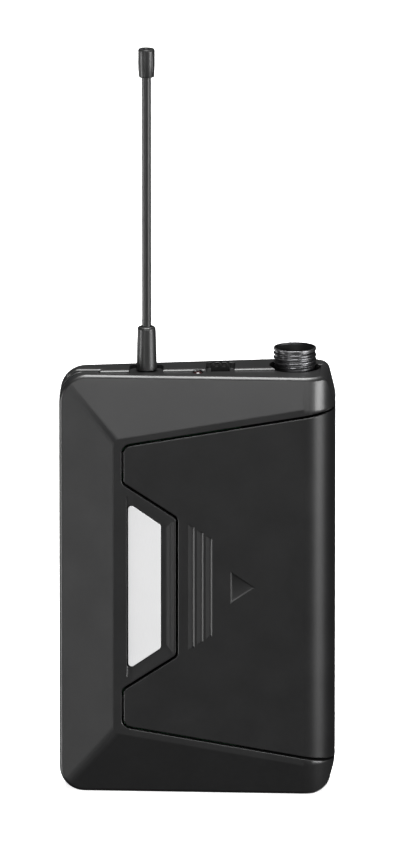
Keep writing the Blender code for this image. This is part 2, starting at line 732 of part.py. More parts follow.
def antenna():
    floor = ANTENNA_POCKET_FLOOR + GAP
    boot = [
        (BOOT_RADIUS, floor),
        (BOOT_RADIUS - 0.2 * mm, BOOT_TOP - 1.5 * mm),
        (WHIP_RADIUS + 0.65 * mm, BOOT_TOP),
    ]
    made = turned_z("antenna_boot", ANTENNA, boot)
    bore = [(WHIP_RADIUS + GAP, floor - 1 * mm), (WHIP_RADIUS + GAP, BOOT_TOP + 1 * mm)]
    finish(cut(made, turned_z("bore", ANTENNA, bore)), DEEP_BLACK, 0.5)
    tip_bottom = ANTENNA_TOP - TIP_LENGTH
    whip = [(WHIP_RADIUS, FLANGE_BOTTOM - 3 * mm), (WHIP_RADIUS, ANTENNA_TOP - 1.5 * mm)]
    finish(turned_z("antenna_whip", ANTENNA, whip, 16), DEEP_BLACK, 0.45)
    tip = [
        (TIP_RADIUS - 0.2 * mm, tip_bottom),
        (TIP_RADIUS, tip_bottom + 0.3 * mm),
        (TIP_RADIUS, ANTENNA_TOP - 0.6 * mm),
        (TIP_RADIUS - 0.6 * mm, ANTENNA_TOP),
    ]
    made = turned_z("antenna_tip", ANTENNA, tip)
    bore = [(WHIP_RADIUS + GAP, tip_bottom - 1 * mm), (WHIP_RADIUS + GAP, ANTENNA_TOP - 1.2 * mm)]
    finish(cut(made, turned_z("bore", ANTENNA, bore, 16)), DEEP_BLACK, 0.5)
    top = FLANGE_BOTTOM - GAP
    base = [(1.9 * mm, top - 7 * mm), (1.9 * mm, top - 1.5 * mm), (3.0 * mm, top - 1.5 * mm), (3.0 * mm, top)]
    made = turned_z("antenna_base", ANTENNA, base)
    bore = [(WHIP_RADIUS + GAP, top - 3.5 * mm), (WHIP_RADIUS + GAP, top + 1 * mm)]
    finish(cut(made, turned_z("bore", ANTENNA, bore, 16)), BRASS, 0.35, 1)


# --- the microphone connector ------------------------------------------------------------


def microphone_socket():
    profile = [(COLLAR_ROOT, FLANGE_BOTTOM - 4 * mm)]
    height = HEIGHT + 0.4 * mm
    while height < COLLAR_TOP - THREAD_PITCH:
        profile += [(COLLAR_ROOT, height)]
        profile += [(COLLAR_RADIUS, height + 0.3 * THREAD_PITCH)]
        profile += [(COLLAR_RADIUS, height + 0.5 * THREAD_PITCH)]
        profile += [(COLLAR_ROOT, height + 0.8 * THREAD_PITCH)]
        height += THREAD_PITCH
    profile += [(COLLAR_ROOT, COLLAR_TOP - 0.5 * mm), (COLLAR_RADIUS, COLLAR_TOP - 0.3 * mm)]
    profile += [(COLLAR_RADIUS, COLLAR_TOP)]
    collar = turned_z("mic_collar", SOCKET, profile)
    bore = [(COLLAR_BORE, FLANGE_BOTTOM - 6 * mm), (COLLAR_BORE, COLLAR_TOP + 1 * mm)]
    finish(cut(collar, turned_z("bore", SOCKET, bore)), STEEL, 0.3, 1)

    # The black insert lines the collar's bore and holds the jack.
    body = [(INSERT_RADIUS, INSERT_BOTTOM), (INSERT_RADIUS, INSERT_TOP)]
    insert = turned_z("mic_jack_insert", SOCKET, body)
    mouth = [(INSERT_BORE, INSERT_FLOOR), (INSERT_BORE, INSERT_TOP + 1 * mm)]
    jack = [(JACK_RADIUS, INSERT_FLOOR - JACK_DEPTH), (JACK_RADIUS, INSERT_FLOOR + 1 * mm)]
    cut(insert, turned_z("mouth", SOCKET, mouth))
    cut(insert, turned_z("jack", SOCKET, jack, 16))
    finish(insert, DEEP_BLACK, 0.55)

    top = FLANGE_BOTTOM - GAP
    nut = turned_z("mic_jack_nut", SOCKET, [(NUT_RADIUS, top - NUT_HEIGHT), (NUT_RADIUS, top)], 6)
    hole = [(COLLAR_ROOT + GAP, top - 3 * mm), (COLLAR_ROOT + GAP, top + 1 * mm)]
    finish(cut(nut, turned_z("hole", SOCKET, hole)), STEEL, 0.35, 1)

    low = (SOCKET.x - 0.25 * mm, SOCKET.y - 1.0 * mm, INSERT_BOTTOM - 3 * mm)
    high = (SOCKET.x + 0.25 * mm, SOCKET.y + 1.0 * mm, INSERT_BOTTOM - GAP)
    finish(box("mic_jack_contact", low, high), BRASS, 0.3, 1)


# --- the switch and the lamp -------------------------------------------------------------


def power_switch():
    floor = SWITCH_POCKET_FLOOR + GAP
    top = floor + KNOB_HEIGHT
    knob_low = (SWITCH.x - KNOB_HALF_WIDTH, SWITCH.y - KNOB_HALF_DEPTH, floor)
    knob_high = (SWITCH.x + KNOB_HALF_WIDTH, SWITCH.y + KNOB_HALF_DEPTH, top)
    knob = box("power_switch_knob", knob_low, knob_high)
    ridges = []
    for shift in (-RIDGE_SPACING, 0.0, RIDGE_SPACING):
        middle = SWITCH.x + shift
        low = (middle - RIDGE_HALF_WIDTH, SWITCH.y - KNOB_HALF_DEPTH, top - 0.5 * mm)
        high = (middle + RIDGE_HALF_WIDTH, SWITCH.y + KNOB_HALF_DEPTH, top + RIDGE_HEIGHT)
        ridges.append(box("ridge", low, high))
    stem_low = (SWITCH.x - STEM_HALF, SWITCH.y - STEM_HALF, FLANGE_BOTTOM + GAP)
    stem_high = (SWITCH.x + STEM_HALF, SWITCH.y + STEM_HALF, floor + 0.5 * mm)
    join(knob, *ridges, box("stem", stem_low, stem_high))
    finish(knob, DEEP_BLACK, 0.4)
    low = (SWITCH.x - 4 * mm, SWITCH.y - 2.8 * mm, FLANGE_BOTTOM - 5.3 * mm)
    high = (SWITCH.x + 4 * mm, SWITCH.y + 2.8 * mm, FLANGE_BOTTOM - GAP)
    finish(box("power_switch_body", low, high), STEEL, 0.4, 1)


def lamp():
    lens = [
        (LAMP_RADIUS, FLANGE_BOTTOM + GAP),
        (LAMP_RADIUS, HEIGHT - 0.1 * mm),
        (LAMP_RADIUS - 0.35 * mm, HEIGHT + 0.15 * mm),
    ]
    finish(turned_z("lamp_lens", LAMP, lens, 16), (0.5, 0.06, 0.05), 0.2)
    led = [(LAMP_RADIUS, FLANGE_BOTTOM - 4 * mm), (LAMP_RADIUS, FLANGE_BOTTOM - GAP)]
    finish(turned_z("lamp_led", LAMP, led, 12), (0.8, 0.8, 0.78), 0.3)


# --- the electronics ---------------------------------------------------------------------


def electronics():
    back = BOARD_FRONT + BOARD_THICKNESS
    board_low = (BOARD_LEFT, BOARD_FRONT, BOARD_BOTTOM)
    finish(box("main_board", board_low, (BOARD_RIGHT, back, BOARD_TOP)), BOARD_GREEN, 0.45)
    can_low = (-12 * mm, back + GAP, 40 * mm)
    finish(box("shield_can", can_low, (7 * mm, back + 3.4 * mm, 76 * mm)), STEEL, 0.35, 1)


def dial(name, place, radius, body_half):
    """A screwdriver-set dial, which turns in a square body on the board."""
    x, z = place
    far = INNER_PANEL_FRONT + INNER_PANEL_THICKNESS
    knob = turned_y(name + "_dial", x, z, [(radius, DIAL_FRONT), (radius, far)])
    slot_half = radius * DIAL_SLOT_SHARE
    slot_low = (x - DIAL_SLOT_HALF_WIDTH, DIAL_FRONT - 1 * mm, z - slot_half)
    slot_high = (x + DIAL_SLOT_HALF_WIDTH, DIAL_FRONT + DIAL_SLOT_DEPTH, z + slot_half)
    finish(cut(knob, box("slot", slot_low, slot_high)), IVORY, 0.45)
    low = (x - body_half, far + GAP, z - body_half)
    high = (x + body_half, BOARD_FRONT - GAP, z + body_half)
    finish(box(name + "_body", low, high), DEEP_BLACK, 0.5)


# --- the battery -------------------------------------------------------------------------


def battery():
    top = CELL_BOTTOM + CELL_LENGTH
    shoulder = top - CELL_SHOULDER
    profile = [
        (CELL_RADIUS - 0.5 * mm, CELL_BOTTOM),
        (CELL_RADIUS, CELL_BOTTOM + 0.5 * mm),
        (CELL_RADIUS, shoulder - 0.5 * mm),
        (CELL_RADIUS - 0.6 * mm, shoulder),
        (CELL_CAP_RADIUS, shoulder),
        (CELL_CAP_RADIUS, top),
    ]
    finish(turned_z("battery_cell", CELL, profile), (0.35, 0.36, 0.38), 0.35, 0.4)

    floor, ceiling = CELL_BOTTOM - CONTACT_ROOM_BELOW, top + CONTACT_ROOM_ABOVE
    low = (TRAY_LEFT, CELL.y - 1.5 * mm, floor - TRAY_END)
    high = (HALF_WIDTH, back_at(TRAY_LEFT) - WALL - 0.4 * mm, ceiling + TRAY_END)
    tray = trim(box("battery_tray", low, high), cavity(WALL + GAP))
    hollow = [(CELL_RADIUS + CELL_CLEARANCE, floor), (CELL_RADIUS + CELL_CLEARANCE, ceiling)]
    cut(tray, turned_z("hollow", CELL, hollow))
    finish(tray, DEEP_BLACK, 0.5)

    plate_low = (CELL.x - 4 * mm, CELL.y - 1.2 * mm, top + GAP)
    plate_high = (CELL.x + 4 * mm, CELL.y + 4 * mm, ceiling - GAP)
    finish(box("battery_contact_positive", plate_low, plate_high), STEEL, 0.3, 1)
    spring = coil(
        "battery_contact_spring",
        Vector((CELL.x, CELL.y, floor + GAP + SPRING_WIRE)),
        Matrix.Identity(3),
        lambda share: SPRING_WIDE + (SPRING_NARROW - SPRING_WIDE) * share,
        CELL_BOTTOM - floor - 2 * (GAP + SPRING_WIRE),
        SPRING_TURNS,
        SPRING_WIRE,
    )
    finish(spring, STEEL, 0.3, 1)


# --- the belt clip -----------------------------------------------------------------------


def belt_clip():
    outer = CLIP_GAP + CLIP_THICKNESS
    inner = CLIP_GAP + BELT_FACE_STEP
    low = CLIP_BOTTOM - CLIP_PIVOT_HEIGHT
    high = CLIP_TOP - CLIP_PIVOT_HEIGHT
    corners = [
        (0.5 * mm, low + 1.0 * mm, 0.5 * mm),
        (2.2 * mm, low + 0.2 * mm, 0.8 * mm),
        (outer, low + 4.5 * mm, 1.5 * mm),
        (outer, high, 0.6 * mm),
        (inner, high, 0.6 * mm),
        (inner, BELT_FACE_TOP + 0.4 * mm, 0),
        (CLIP_GAP, BELT_FACE_TOP, 0),
        (CLIP_GAP, low + 6.0 * mm, 1.0 * mm),
    ]
    arm = across_prism("belt_clip", fillet(corners, 4), CLIP_HALF_WIDTH)
    barrel = shifted(ring_points(BARREL_RADIUS), CLIP_PIVOT_STANDOFF, 0)
    join(arm, across_prism("barrel", barrel, CLIP_HALF_WIDTH - 0.01 * mm))
    hole = shifted(ring_points(PIN_RADIUS + GAP, 16), CLIP_PIVOT_STANDOFF, 0)
    cut(arm, across_prism("hole", hole, CLIP_HALF_WIDTH + 1 * mm))
    notch = shifted(ring_points(BARREL_RADIUS + 0.05 * mm), CLIP_PIVOT_STANDOFF, 0)
    cut(arm, across_prism("notch", notch, CLIP_NOTCH_HALF))
    finish(arm, DEEP_BLACK, 0.45)

    pin = shifted(ring_points(PIN_RADIUS, 16), CLIP_PIVOT_STANDOFF, 0)
    finish(across_prism("clip_pin", pin, CLIP_HALF_WIDTH + GAP + LUG_WIDTH), STEEL, 0.3, 1)

    place = clip_matrix()
    centre = place @ Vector((-CLIP_SPRING_LENGTH / 2, CLIP_PIVOT_STANDOFF, 0))
    spring = coil(
        "clip_spring",
        centre,
        place.to_3x3() @ Matrix(((0, 0, 1), (1, 0, 0), (0, 1, 0))),
        lambda share: CLIP_SPRING_RADIUS,
        CLIP_SPRING_LENGTH,
        SPRING_TURNS,
        CLIP_SPRING_WIRE,
    )
    finish(spring, STEEL, 0.3, 1)


def case_screws():
    for number, (x, z) in enumerate(SCREW_PLACES, 1):
        seat = back_at(x) - HEAD_POCKET_DEPTH + GAP
        profile = [
            (SHANK_RADIUS, front_at(x, z) + WALL + 1.4 * mm),
            (SHANK_RADIUS, seat),
            (HEAD_RADIUS, seat),
            (HEAD_RADIUS, seat + HEAD_HEIGHT - 0.4 * mm),
            (HEAD_RADIUS - 0.6 * mm, seat + HEAD_HEIGHT),
        ]
        screw = turned_y(f"case_screw_{number}", x, z, profile, 12)
        for across, up in ((1.0 * mm, 0.2 * mm), (0.2 * mm, 1.0 * mm)):
            low = (x - across, seat + 0.6 * mm, z - up)
            high = (x + across, seat + 2 * mm, z + up)
            cut(screw, box("cross", low, high))
        finish(screw, STEEL, 0.3, 1)


def main():
    for thing in list(bpy.data.objects):
        bpy.data.objects.remove(thing)
    front_cover()
    rear_cover()
    battery_door()
    nameplate()
    top_panel()
    inner_panel()
    antenna()
    microphone_socket()
    power_switch()
    lamp()
    electronics()
    dial("bank_selector", BANK_DIAL, SELECTOR_RADIUS, 4.2 * mm)
    dial("channel_selector", CHANNEL_DIAL, SELECTOR_RADIUS, 4.2 * mm)
    dial("level_trimmer", LEVEL_DIAL, TRIMMER_RADIUS, 3.2 * mm)
    battery()
    belt_clip()
    case_screws()


main()
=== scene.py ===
"""Looks of a belt-pack radio transmitter for a lavalier microphone.

Each outer piece is built again, finer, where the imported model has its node, and stands for it.
Lengths are in metres, in the model's own frame: +X right, +Z up, the front faces -Y.
"""

import json
import math

import bmesh
import bpy
from mathutils import Matrix, Vector

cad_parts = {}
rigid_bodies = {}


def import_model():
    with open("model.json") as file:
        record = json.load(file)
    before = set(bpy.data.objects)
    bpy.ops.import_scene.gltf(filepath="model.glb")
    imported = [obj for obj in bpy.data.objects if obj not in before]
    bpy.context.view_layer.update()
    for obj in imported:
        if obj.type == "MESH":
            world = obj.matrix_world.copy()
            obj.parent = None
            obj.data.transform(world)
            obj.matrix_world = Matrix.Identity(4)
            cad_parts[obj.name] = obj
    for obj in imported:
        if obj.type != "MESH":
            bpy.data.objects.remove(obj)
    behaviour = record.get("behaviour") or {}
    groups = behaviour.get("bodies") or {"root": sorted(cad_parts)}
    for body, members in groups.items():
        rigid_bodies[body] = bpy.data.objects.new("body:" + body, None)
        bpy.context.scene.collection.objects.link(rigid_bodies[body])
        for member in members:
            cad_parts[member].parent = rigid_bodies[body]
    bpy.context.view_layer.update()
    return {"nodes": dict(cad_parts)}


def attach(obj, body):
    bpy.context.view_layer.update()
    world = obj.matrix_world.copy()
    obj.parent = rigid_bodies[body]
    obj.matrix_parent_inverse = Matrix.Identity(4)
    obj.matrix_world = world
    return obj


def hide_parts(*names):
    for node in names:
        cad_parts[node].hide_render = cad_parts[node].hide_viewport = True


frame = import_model()

mm = 0.001

# The case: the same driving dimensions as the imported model
HALF_WIDTH = 31.1 * mm
HEIGHT = 97.0 * mm
MIDDLE = HEIGHT / 2
FRONT = -11.6 * mm
BACK_SLOPE = 0.171
BACK_AT_CENTRE = 6.6 * mm
WALL = 1.6 * mm
GAP = 0.3 * mm
PARTING_DEPTH = 8.1 * mm
FRONT_ROUND = 7.0 * mm
REAR_ROUND = 8.0 * mm
TOP_LEFT_ROUND = 6.5 * mm
LEFT_ROUND = 5.7 * mm
END_HALF_WIDTH = 29.2 * mm
END_TAPER_HEIGHT = 6.5 * mm
SLIVER = 0.03 * mm
EDGE_ROUND = 1.2 * mm
HIP_ROUND = 12.0 * mm
RIM_ROUND = 3.0 * mm

# The sloping faces of the front, and the flat rim that they leave
RIM_LEFT = -18.8 * mm
RIM_HALF_HEIGHT = 37.33 * mm
FLARE = 0.1703
FACET_SLOPE = 0.16
LEFT_FACET_SLOPE = 0.216

# The battery door
DOOR_GAP = 0.5 * mm
DOOR_WALL = 1.5 * mm
DOOR_LEFT = -16.63 * mm
DOOR_HALF_HEIGHT = 35.48 * mm
NOTCH_RIGHT = -4.35 * mm
NOTCH_OUTER_HALF = 24.0 * mm
NOTCH_INNER_HALF = 16.0 * mm
DOOR_OVERRUN = 34.0 * mm
GROOVE_PLACES = ((-1.1 * mm, 14.6 * mm), (0.9 * mm, 13.3 * mm), (2.9 * mm, 12.0 * mm))
GROOVE_HALF_WIDTH = 0.72 * mm
GROOVE_BOTTOM = 0.28 * mm
GROOVE_DEPTH = 0.35 * mm
ARROW_LEFT = 7.8 * mm
ARROW_LENGTH = 5.6 * mm
ARROW_HALF_HEIGHT = 3.8 * mm
ARROW_DEPTH = 0.35 * mm

# The nameplate and its recess
PLATE_LEFT = -15.4 * mm
PLATE_RIGHT = -8.0 * mm
PLATE_LEFT_HALF = 19.4 * mm
PLATE_RIGHT_HALF = 14.3 * mm
PLATE_THICKNESS = 0.4 * mm
RECESS_DEPTH = 1.1 * mm

# The top panel and what stands on it
LIP = 3.7 * mm
PANEL_FRONT = -4.8 * mm
PANEL_SKEW = 0.098
PANEL_LEFT = -29.6 * mm
PANEL_JOG = -22.2 * mm
PANEL_JOG_FRONT = -5.35 * mm
PANEL_RIGHT = 25.0 * mm
PANEL_RISE = 0.5 * mm
PANEL_TOP = HEIGHT + PANEL_RISE
PANEL_BOTTOM = HEIGHT - 1.6 * mm
PANEL_MARGIN = 0.2 * mm
PANEL_CROWN = 1.2 * mm
FLANGE_BOTTOM = HEIGHT - 3.4 * mm
FLANGE_REACH = 1.2 * mm
BELOW = FLANGE_BOTTOM - 1 * mm
ABOVE = HEIGHT + 2 * mm
ANTENNA_POCKET_HALF = 3.85 * mm
ANTENNA_POCKET_BACK = 0.3 * mm
ANTENNA_POCKET_FLOOR = HEIGHT - 0.4 * mm
SWITCH_POCKET_HALF = 3.25 * mm
SWITCH_POCKET_REACH = 3.4 * mm
SWITCH_POCKET_FLOOR = HEIGHT - 0.9 * mm
ANTENNA = Vector((-11.5 * mm, -2.3 * mm, 0))
ANTENNA_TOP = 170.9 * mm
TIP_LENGTH = 6.5 * mm
TIP_RADIUS = 1.88 * mm
WHIP_RADIUS = 1.05 * mm
BOOT_TOP = 106.9 * mm
BOOT_RADIUS = 2.35 * mm
SOCKET = Vector((21.9 * mm, 0.9 * mm, 0))
COLLAR_TOP = 101.6 * mm
COLLAR_RADIUS = 4.85 * mm
COLLAR_BORE = 4.1 * mm
WELL_RADIUS = 5.75 * mm
WELL_FLOOR = HEIGHT - 2.3 * mm
THREAD_PITCH = 1.0 * mm
THREAD_ROOT = COLLAR_RADIUS - 0.42 * mm
MOUTH_RADIUS = 4.5 * mm
MOUTH_FLOOR = COLLAR_TOP - 2.5 * mm
INSERT_BORE = 3.3 * mm
INSERT_FLOOR = HEIGHT + 0.2 * mm
SWITCH = Vector((5.15 * mm, -1.0 * mm, 0))
LAMP = Vector((0.2 * mm, -5.3 * mm, 0))
LAMP_RADIUS = 0.95 * mm

# The electronics and the battery
BOARD_FRONT = FRONT + 8.2 * mm
INNER_PANEL_FRONT = FRONT + 3.4 * mm
INNER_PANEL_RIGHT = 11.6 * mm
DIALS = {   # the body, x, z, radius and number of settings
    "bank_selector": ("bank_dial", 4.5 * mm, 66.0 * mm, 3.0 * mm, 16),
    "channel_selector": ("channel_dial", 4.5 * mm, 50.0 * mm, 3.0 * mm, 16),
    "level_trimmer": ("level_dial", 4.5 * mm, 32.0 * mm, 2.2 * mm, 9),
}
CELL = Vector((21.3 * mm, -0.8 * mm, 0))
CELL_RADIUS = 7.1 * mm
CELL_BOTTOM = 21.0 * mm
CELL_LENGTH = 50.5 * mm

# The belt clip, in a frame laid on the sloping back
CLIP_X = -19.5 * mm
CLIP_PIVOT_HEIGHT = 80.0 * mm
CLIP_PIVOT_STANDOFF = 3.4 * mm
CLIP_HALF_WIDTH = 6.5 * mm
CLIP_GAP = 5.4 * mm
CLIP_THICKNESS = 1.6 * mm
CLIP_BOTTOM = 30.0 * mm
CLIP_TOP = 89.0 * mm
BELT_FACE_TOP = -4.0 * mm
BELT_FACE_STEP = 0.3 * mm
LUG_WIDTH = 2.0 * mm
BARREL_RADIUS = 2.4 * mm
PIN_RADIUS = 1.0 * mm

SCREW_PLACES = (
    (-26.0 * mm, 7.5 * mm), (-26.0 * mm, 89.5 * mm), (12.5 * mm, 6.5 * mm), (12.5 * mm, 90.3 * mm),
)
SCREW_SEAM = 5.6 * mm
SCREW_HEAD_DEPTH = 2.2 * mm

SQUARE = ((-1, -1), (1, -1), (1, 1), (-1, 1))
ARC_STEPS = 14
ROUND_SIDES = 72
FAR = 0.3
ROUND_ANGLE = math.radians(13)
LEAST_ROUND = 0.02 * mm


# --- flat outlines ---


def spoke(angle):
    return Vector((math.cos(angle), math.sin(angle), 0))


def back_at(x):
    """y of the outside of the back."""
    return BACK_AT_CENTRE + BACK_SLOPE * x


def front_at(x, z):
    """y of the outside of the front, inside the rounded right edge."""
    side = LEFT_FACET_SLOPE * (RIM_LEFT - x)
    end = FACET_SLOPE * (abs(z - MIDDLE) - RIM_HALF_HEIGHT - FLARE * x)
    return FRONT + max(side, end, 0)


def offset_corners(corners, distance):
    """The same outline with each side moved outwards; corners are (a, b, radius), anticlockwise."""
    count = len(corners)
    sides = []
    for index in range(count):
        start = Vector(corners[index][:2])
        end = Vector(corners[(index + 1) % count][:2])
        along = (end - start).normalized()
        outward = Vector((along.y, -along.x))
        sides.append((start + outward * distance, along))
    moved = []
    for index in range(count):
        before, along_before = sides[index - 1]
        after, along_after = sides[index]
        turn = along_before.cross(along_after)
        reach = (after - before).cross(along_after) / turn
        point = before + along_before * reach
        radius = corners[index][2]
        grown = radius + math.copysign(distance, turn * distance)
        moved.append((point.x, point.y, max(grown, LEAST_ROUND) if radius else 0))
    return moved


def fillet(corners, steps=ARC_STEPS):
    """The outline's points, with an arc at each corner that has a radius."""
    points = []
    count = len(corners)
    for index in range(count):
        here = Vector(corners[index][:2])
        radius = corners[index][2]
        if radius <= 0:
            points.append(here)
            continue
        to_last = (Vector(corners[index - 1][:2]) - here).normalized()
        to_next = (Vector(corners[(index + 1) % count][:2]) - here).normalized()
        half_angle = to_last.angle(to_next) / 2
        centre = here + (to_last + to_next).normalized() * (radius / math.sin(half_angle))
        start = here + to_last * (radius / math.tan(half_angle)) - centre
        turned = (math.pi - 2 * half_angle) * math.copysign(1, to_next.cross(to_last))
        for step in range(steps + 1):
            arm = start.copy()
            arm.rotate(Matrix.Rotation(turned * step / steps, 2))
            points.append(centre + arm)
    return points


def plan_corners():
    """The case seen from above, as (x, y, radius), with its front right edge still square."""
    return [
        (-HALF_WIDTH, FRONT, 0),
        (HALF_WIDTH, FRONT, 0),
        (HALF_WIDTH, back_at(HALF_WIDTH), REAR_ROUND),
        (-HALF_WIDTH, back_at(-HALF_WIDTH), 1.5 * mm),
    ]


def face_corners(top_left_round):
    """The case seen from the front, as (x, z, radius)."""
    return [
        (-HALF_WIDTH, 0, LEFT_ROUND),
        (END_HALF_WIDTH, 0, 4.5 * mm),
        (HALF_WIDTH, END_TAPER_HEIGHT, 3 * mm),
        (HALF_WIDTH, HEIGHT - END_TAPER_HEIGHT, 3 * mm),
        (END_HALF_WIDTH, HEIGHT, 2 * mm),
        (-HALF_WIDTH, HEIGHT, top_left_round),
    ]


def door_corners():
    """The middle of the gap round the door, seen from the front, as (x, z, radius)."""
    upper = [
        (DOOR_OVERRUN, DOOR_HALF_HEIGHT + FLARE * DOOR_OVERRUN, 0),
        (DOOR_LEFT, DOOR_HALF_HEIGHT + FLARE * DOOR_LEFT, 2.0 * mm),
        (DOOR_LEFT, NOTCH_OUTER_HALF, 1.4 * mm),
        (NOTCH_RIGHT, NOTCH_INNER_HALF, 1.4 * mm),
    ]
    lower = [(x, -half, radius) for x, half, radius in reversed(upper)]
    return [(x, MIDDLE + rise, radius) for x, rise, radius in upper + lower]


def tapered_corners(left, right, left_half, right_half, radius):
    """A plate whose slanted ends leave its left side longer than its right, as (x, z, radius)."""
    return [
        (left, MIDDLE - left_half, radius),
        (right, MIDDLE - right_half, radius),
        (right, MIDDLE + right_half, radius),
        (left, MIDDLE + left_half, radius),
    ]


def panel_front_at(x):
    """y of the front of the opening for the top panel, to the right of its jog."""
    return PANEL_FRONT + PANEL_SKEW * x


def panel_corners():
    """The opening for the top panel, seen from above, as (x, y, radius)."""
    return [
        (PANEL_LEFT, PANEL_JOG_FRONT, 1.5 * mm),
        (PANEL_JOG, PANEL_JOG_FRONT, 0),
        (PANEL_JOG, panel_front_at(PANEL_JOG), 0),
        (PANEL_RIGHT, panel_front_at(PANEL_RIGHT), 0.8 * mm),
        (PANEL_RIGHT, back_at(PANEL_RIGHT) - LIP, 3 * mm),
        (PANEL_LEFT, back_at(PANEL_LEFT) - LIP, 1.5 * mm),
    ]


# --- solids ---


def placed(name, data):
    made = bpy.data.objects.new(name, data)
    bpy.context.scene.collection.objects.link(made)
    return made


def new_object(name, bm):
    mesh = bpy.data.meshes.new(name)
    bmesh.ops.recalc_face_normals(bm, faces=bm.faces)
    bm.to_mesh(mesh)
    bm.free()
    return placed(name, mesh)


def loft(name, *rings, hollow=False):
    """A solid through rings of points that match one to one, with flat ends, or back to its start."""
    bm = bmesh.new()
    loops = [[bm.verts.new(point) for point in ring] for ring in rings]
    if hollow:
        loops.append(loops[0])
    else:
        bm.faces.new(loops[0])
        bm.faces.new(loops[-1])
    for lower, upper in zip(loops, loops[1:]):
        for index in range(len(lower)):
            after = (index + 1) % len(lower)
            bm.faces.new((lower[index], lower[after], upper[after], upper[index]))
    return new_object(name, bm)


def loft_y(name, *levels):
    """A solid through outlines in X and Z, each given with its y."""
    return loft(name, *[[(p.x, y, p.y) for p in outline] for outline, y in levels])


def prism_y(name, outline, near, far):
    return loft_y(name, (outline, near), (outline, far))


def prism_z(name, outline, low, high):
    """An outline in X and Y, run from one height to another."""
    return loft(name, *[[(p.x, p.y, z) for p in outline] for z in (low, high)])


def box(name, low, high):
    corners = ((low[0], low[1]), (high[0], low[1]), (high[0], high[1]), (low[0], high[1]))
    return prism_z(name, [Vector(corner) for corner in corners], low[2], high[2])


def lathe(name, centre, outline, axis="Z", sides=ROUND_SIDES):
    """Turns an outline of (radius, height, round) corners; it closes on itself, or ends on the axis."""
    points = fillet(outline, 6)
    to_world = Matrix.Identity(3) if axis == "Z" else Matrix(((1, 0, 0), (0, 0, 1), (0, 1, 0)))
    bm = bmesh.new()
    verts = [bm.verts.new(centre + to_world @ Vector((p.x, 0, p.y))) for p in points]
    edges = [bm.edges.new(pair) for pair in zip(verts, verts[1:])]
    if outline[0][0] or outline[-1][0]:
        edges.append(bm.edges.new((verts[-1], verts[0])))
    around, whole = to_world.col[2], 2 * math.pi
    bmesh.ops.spin(
        bm, geom=verts + edges, cent=centre, axis=around, angle=whole, steps=sides, use_merge=True
    )
    bmesh.ops.remove_doubles(bm, verts=bm.verts, dist=1e-7)
    return new_object(name, bm)


def rod(name, centre, radius, low, high, axis="Z", sides=ROUND_SIDES):
    """A plain round cutter or post; low and high are along its axis."""
    outline = [(0, low, 0), (radius, low, 0), (radius, high, 0), (0, high, 0)]
    return lathe(name, centre, outline, axis, sides)


def rod_y(name, x, z, radius, near, far, sides=ROUND_SIDES):
    return rod(name, Vector((x, 0, z)), radius, near, far, "Y", sides)


def coil(name, centre, axis_matrix, radius_at, length, turns, wire, sides=10, steps=28):
    """A wire wound into a helix along the matrix's third axis."""
    rings = []
    total = int(turns * steps)
    for step in range(total + 1):
        share = step / total
        angle = 2 * math.pi * turns * share
        outward = spoke(angle)
        middle = outward * radius_at(share) + Vector((0, 0, length * share))
        ring = []
        for side in range(sides):
            around = 2 * math.pi * side / sides
            across = outward * math.cos(around) + Vector((0, 0, math.sin(around)))
            ring.append(centre + axis_matrix @ (middle + across * wire))
        rings.append(ring)
    return loft(name, *rings)


def bake(target):
    """Makes the modifiers' result the piece's own mesh."""
    bpy.context.view_layer.update()
    graph = bpy.context.evaluated_depsgraph_get()
    result = bpy.data.meshes.new_from_object(target.evaluated_get(graph))
    target.modifiers.clear()
    target.data = result
    result.name = target.name
    return target


def combine(target, others, operation):
    """Joins, cuts or trims the target with the other solids, which are used up."""
    for other in others:
        step = target.modifiers.new(operation.title(), "BOOLEAN")
        step.operation = operation
        step.solver = "EXACT"
        step.object = other
    bake(target)
    for other in others:
        bpy.data.objects.remove(other)
    return target


def cut(target, *cutters):
    return combine(target, cutters, "DIFFERENCE")


def join(target, *others):
    return combine(target, others, "UNION")


def trim(target, limit):
    return combine(target, [limit], "INTERSECT")


# --- the convex case ---


def side_planes(points, lift):
    """Planes along an outline's sides, facing out; lift turns a flat vector into a solid one."""
    planes = []
    for start, end in zip(points, points[1:] + points[:1]):
        along = (end - start).normalized()
        planes.append((lift(start), lift(Vector((along.y, -along.x)))))
    return planes


def round_planes(first, second, radius, steps):
    """Planes round the edge where two planes meet, all touching a cylinder of that radius."""
    (point_a, normal_a), (point_b, normal_b) = first, second
    reach_a = normal_a.dot(point_a) - radius
    reach_b = normal_b.dot(point_b) - radius
    lean = normal_a.dot(normal_b)
    share_a = (reach_a - lean * reach_b) / (1 - lean * lean)
    share_b = (reach_b - lean * reach_a) / (1 - lean * lean)
    centre = normal_a * share_a + normal_b * share_b
    normals = [normal_a.slerp(normal_b, step / steps) for step in range(1, steps)]
    return [(centre + normal * radius, normal) for normal in normals]


def front_planes():
    """The flat front, its three sloping faces, and the soft turns between them and to the right."""
    flat = (Vector((0, FRONT, 0)), Vector((0, -1, 0)))
    right = (Vector((HALF_WIDTH, 0, 0)), Vector((1, 0, 0)))
    left_normal = Vector((-LEFT_FACET_SLOPE, -1, 0)).normalized()
    left = (Vector((RIM_LEFT, FRONT, 0)), left_normal)
    planes = [left]
    planes += round_planes(flat, left, RIM_ROUND, 4)
    planes += round_planes(flat, right, FRONT_ROUND, 26)
    for side in (1, -1):
        point = Vector((0, FRONT, MIDDLE + side * RIM_HALF_HEIGHT))
        normal = Vector((-FLARE * FACET_SLOPE, -1, side * FACET_SLOPE)).normalized()
        end = (point, normal)
        planes.append(end)
        planes += round_planes(flat, end, RIM_ROUND, 4)
        planes += round_planes(left, end, HIP_ROUND, 7)
        planes += round_planes(end, right, FRONT_ROUND, 26)
    return planes


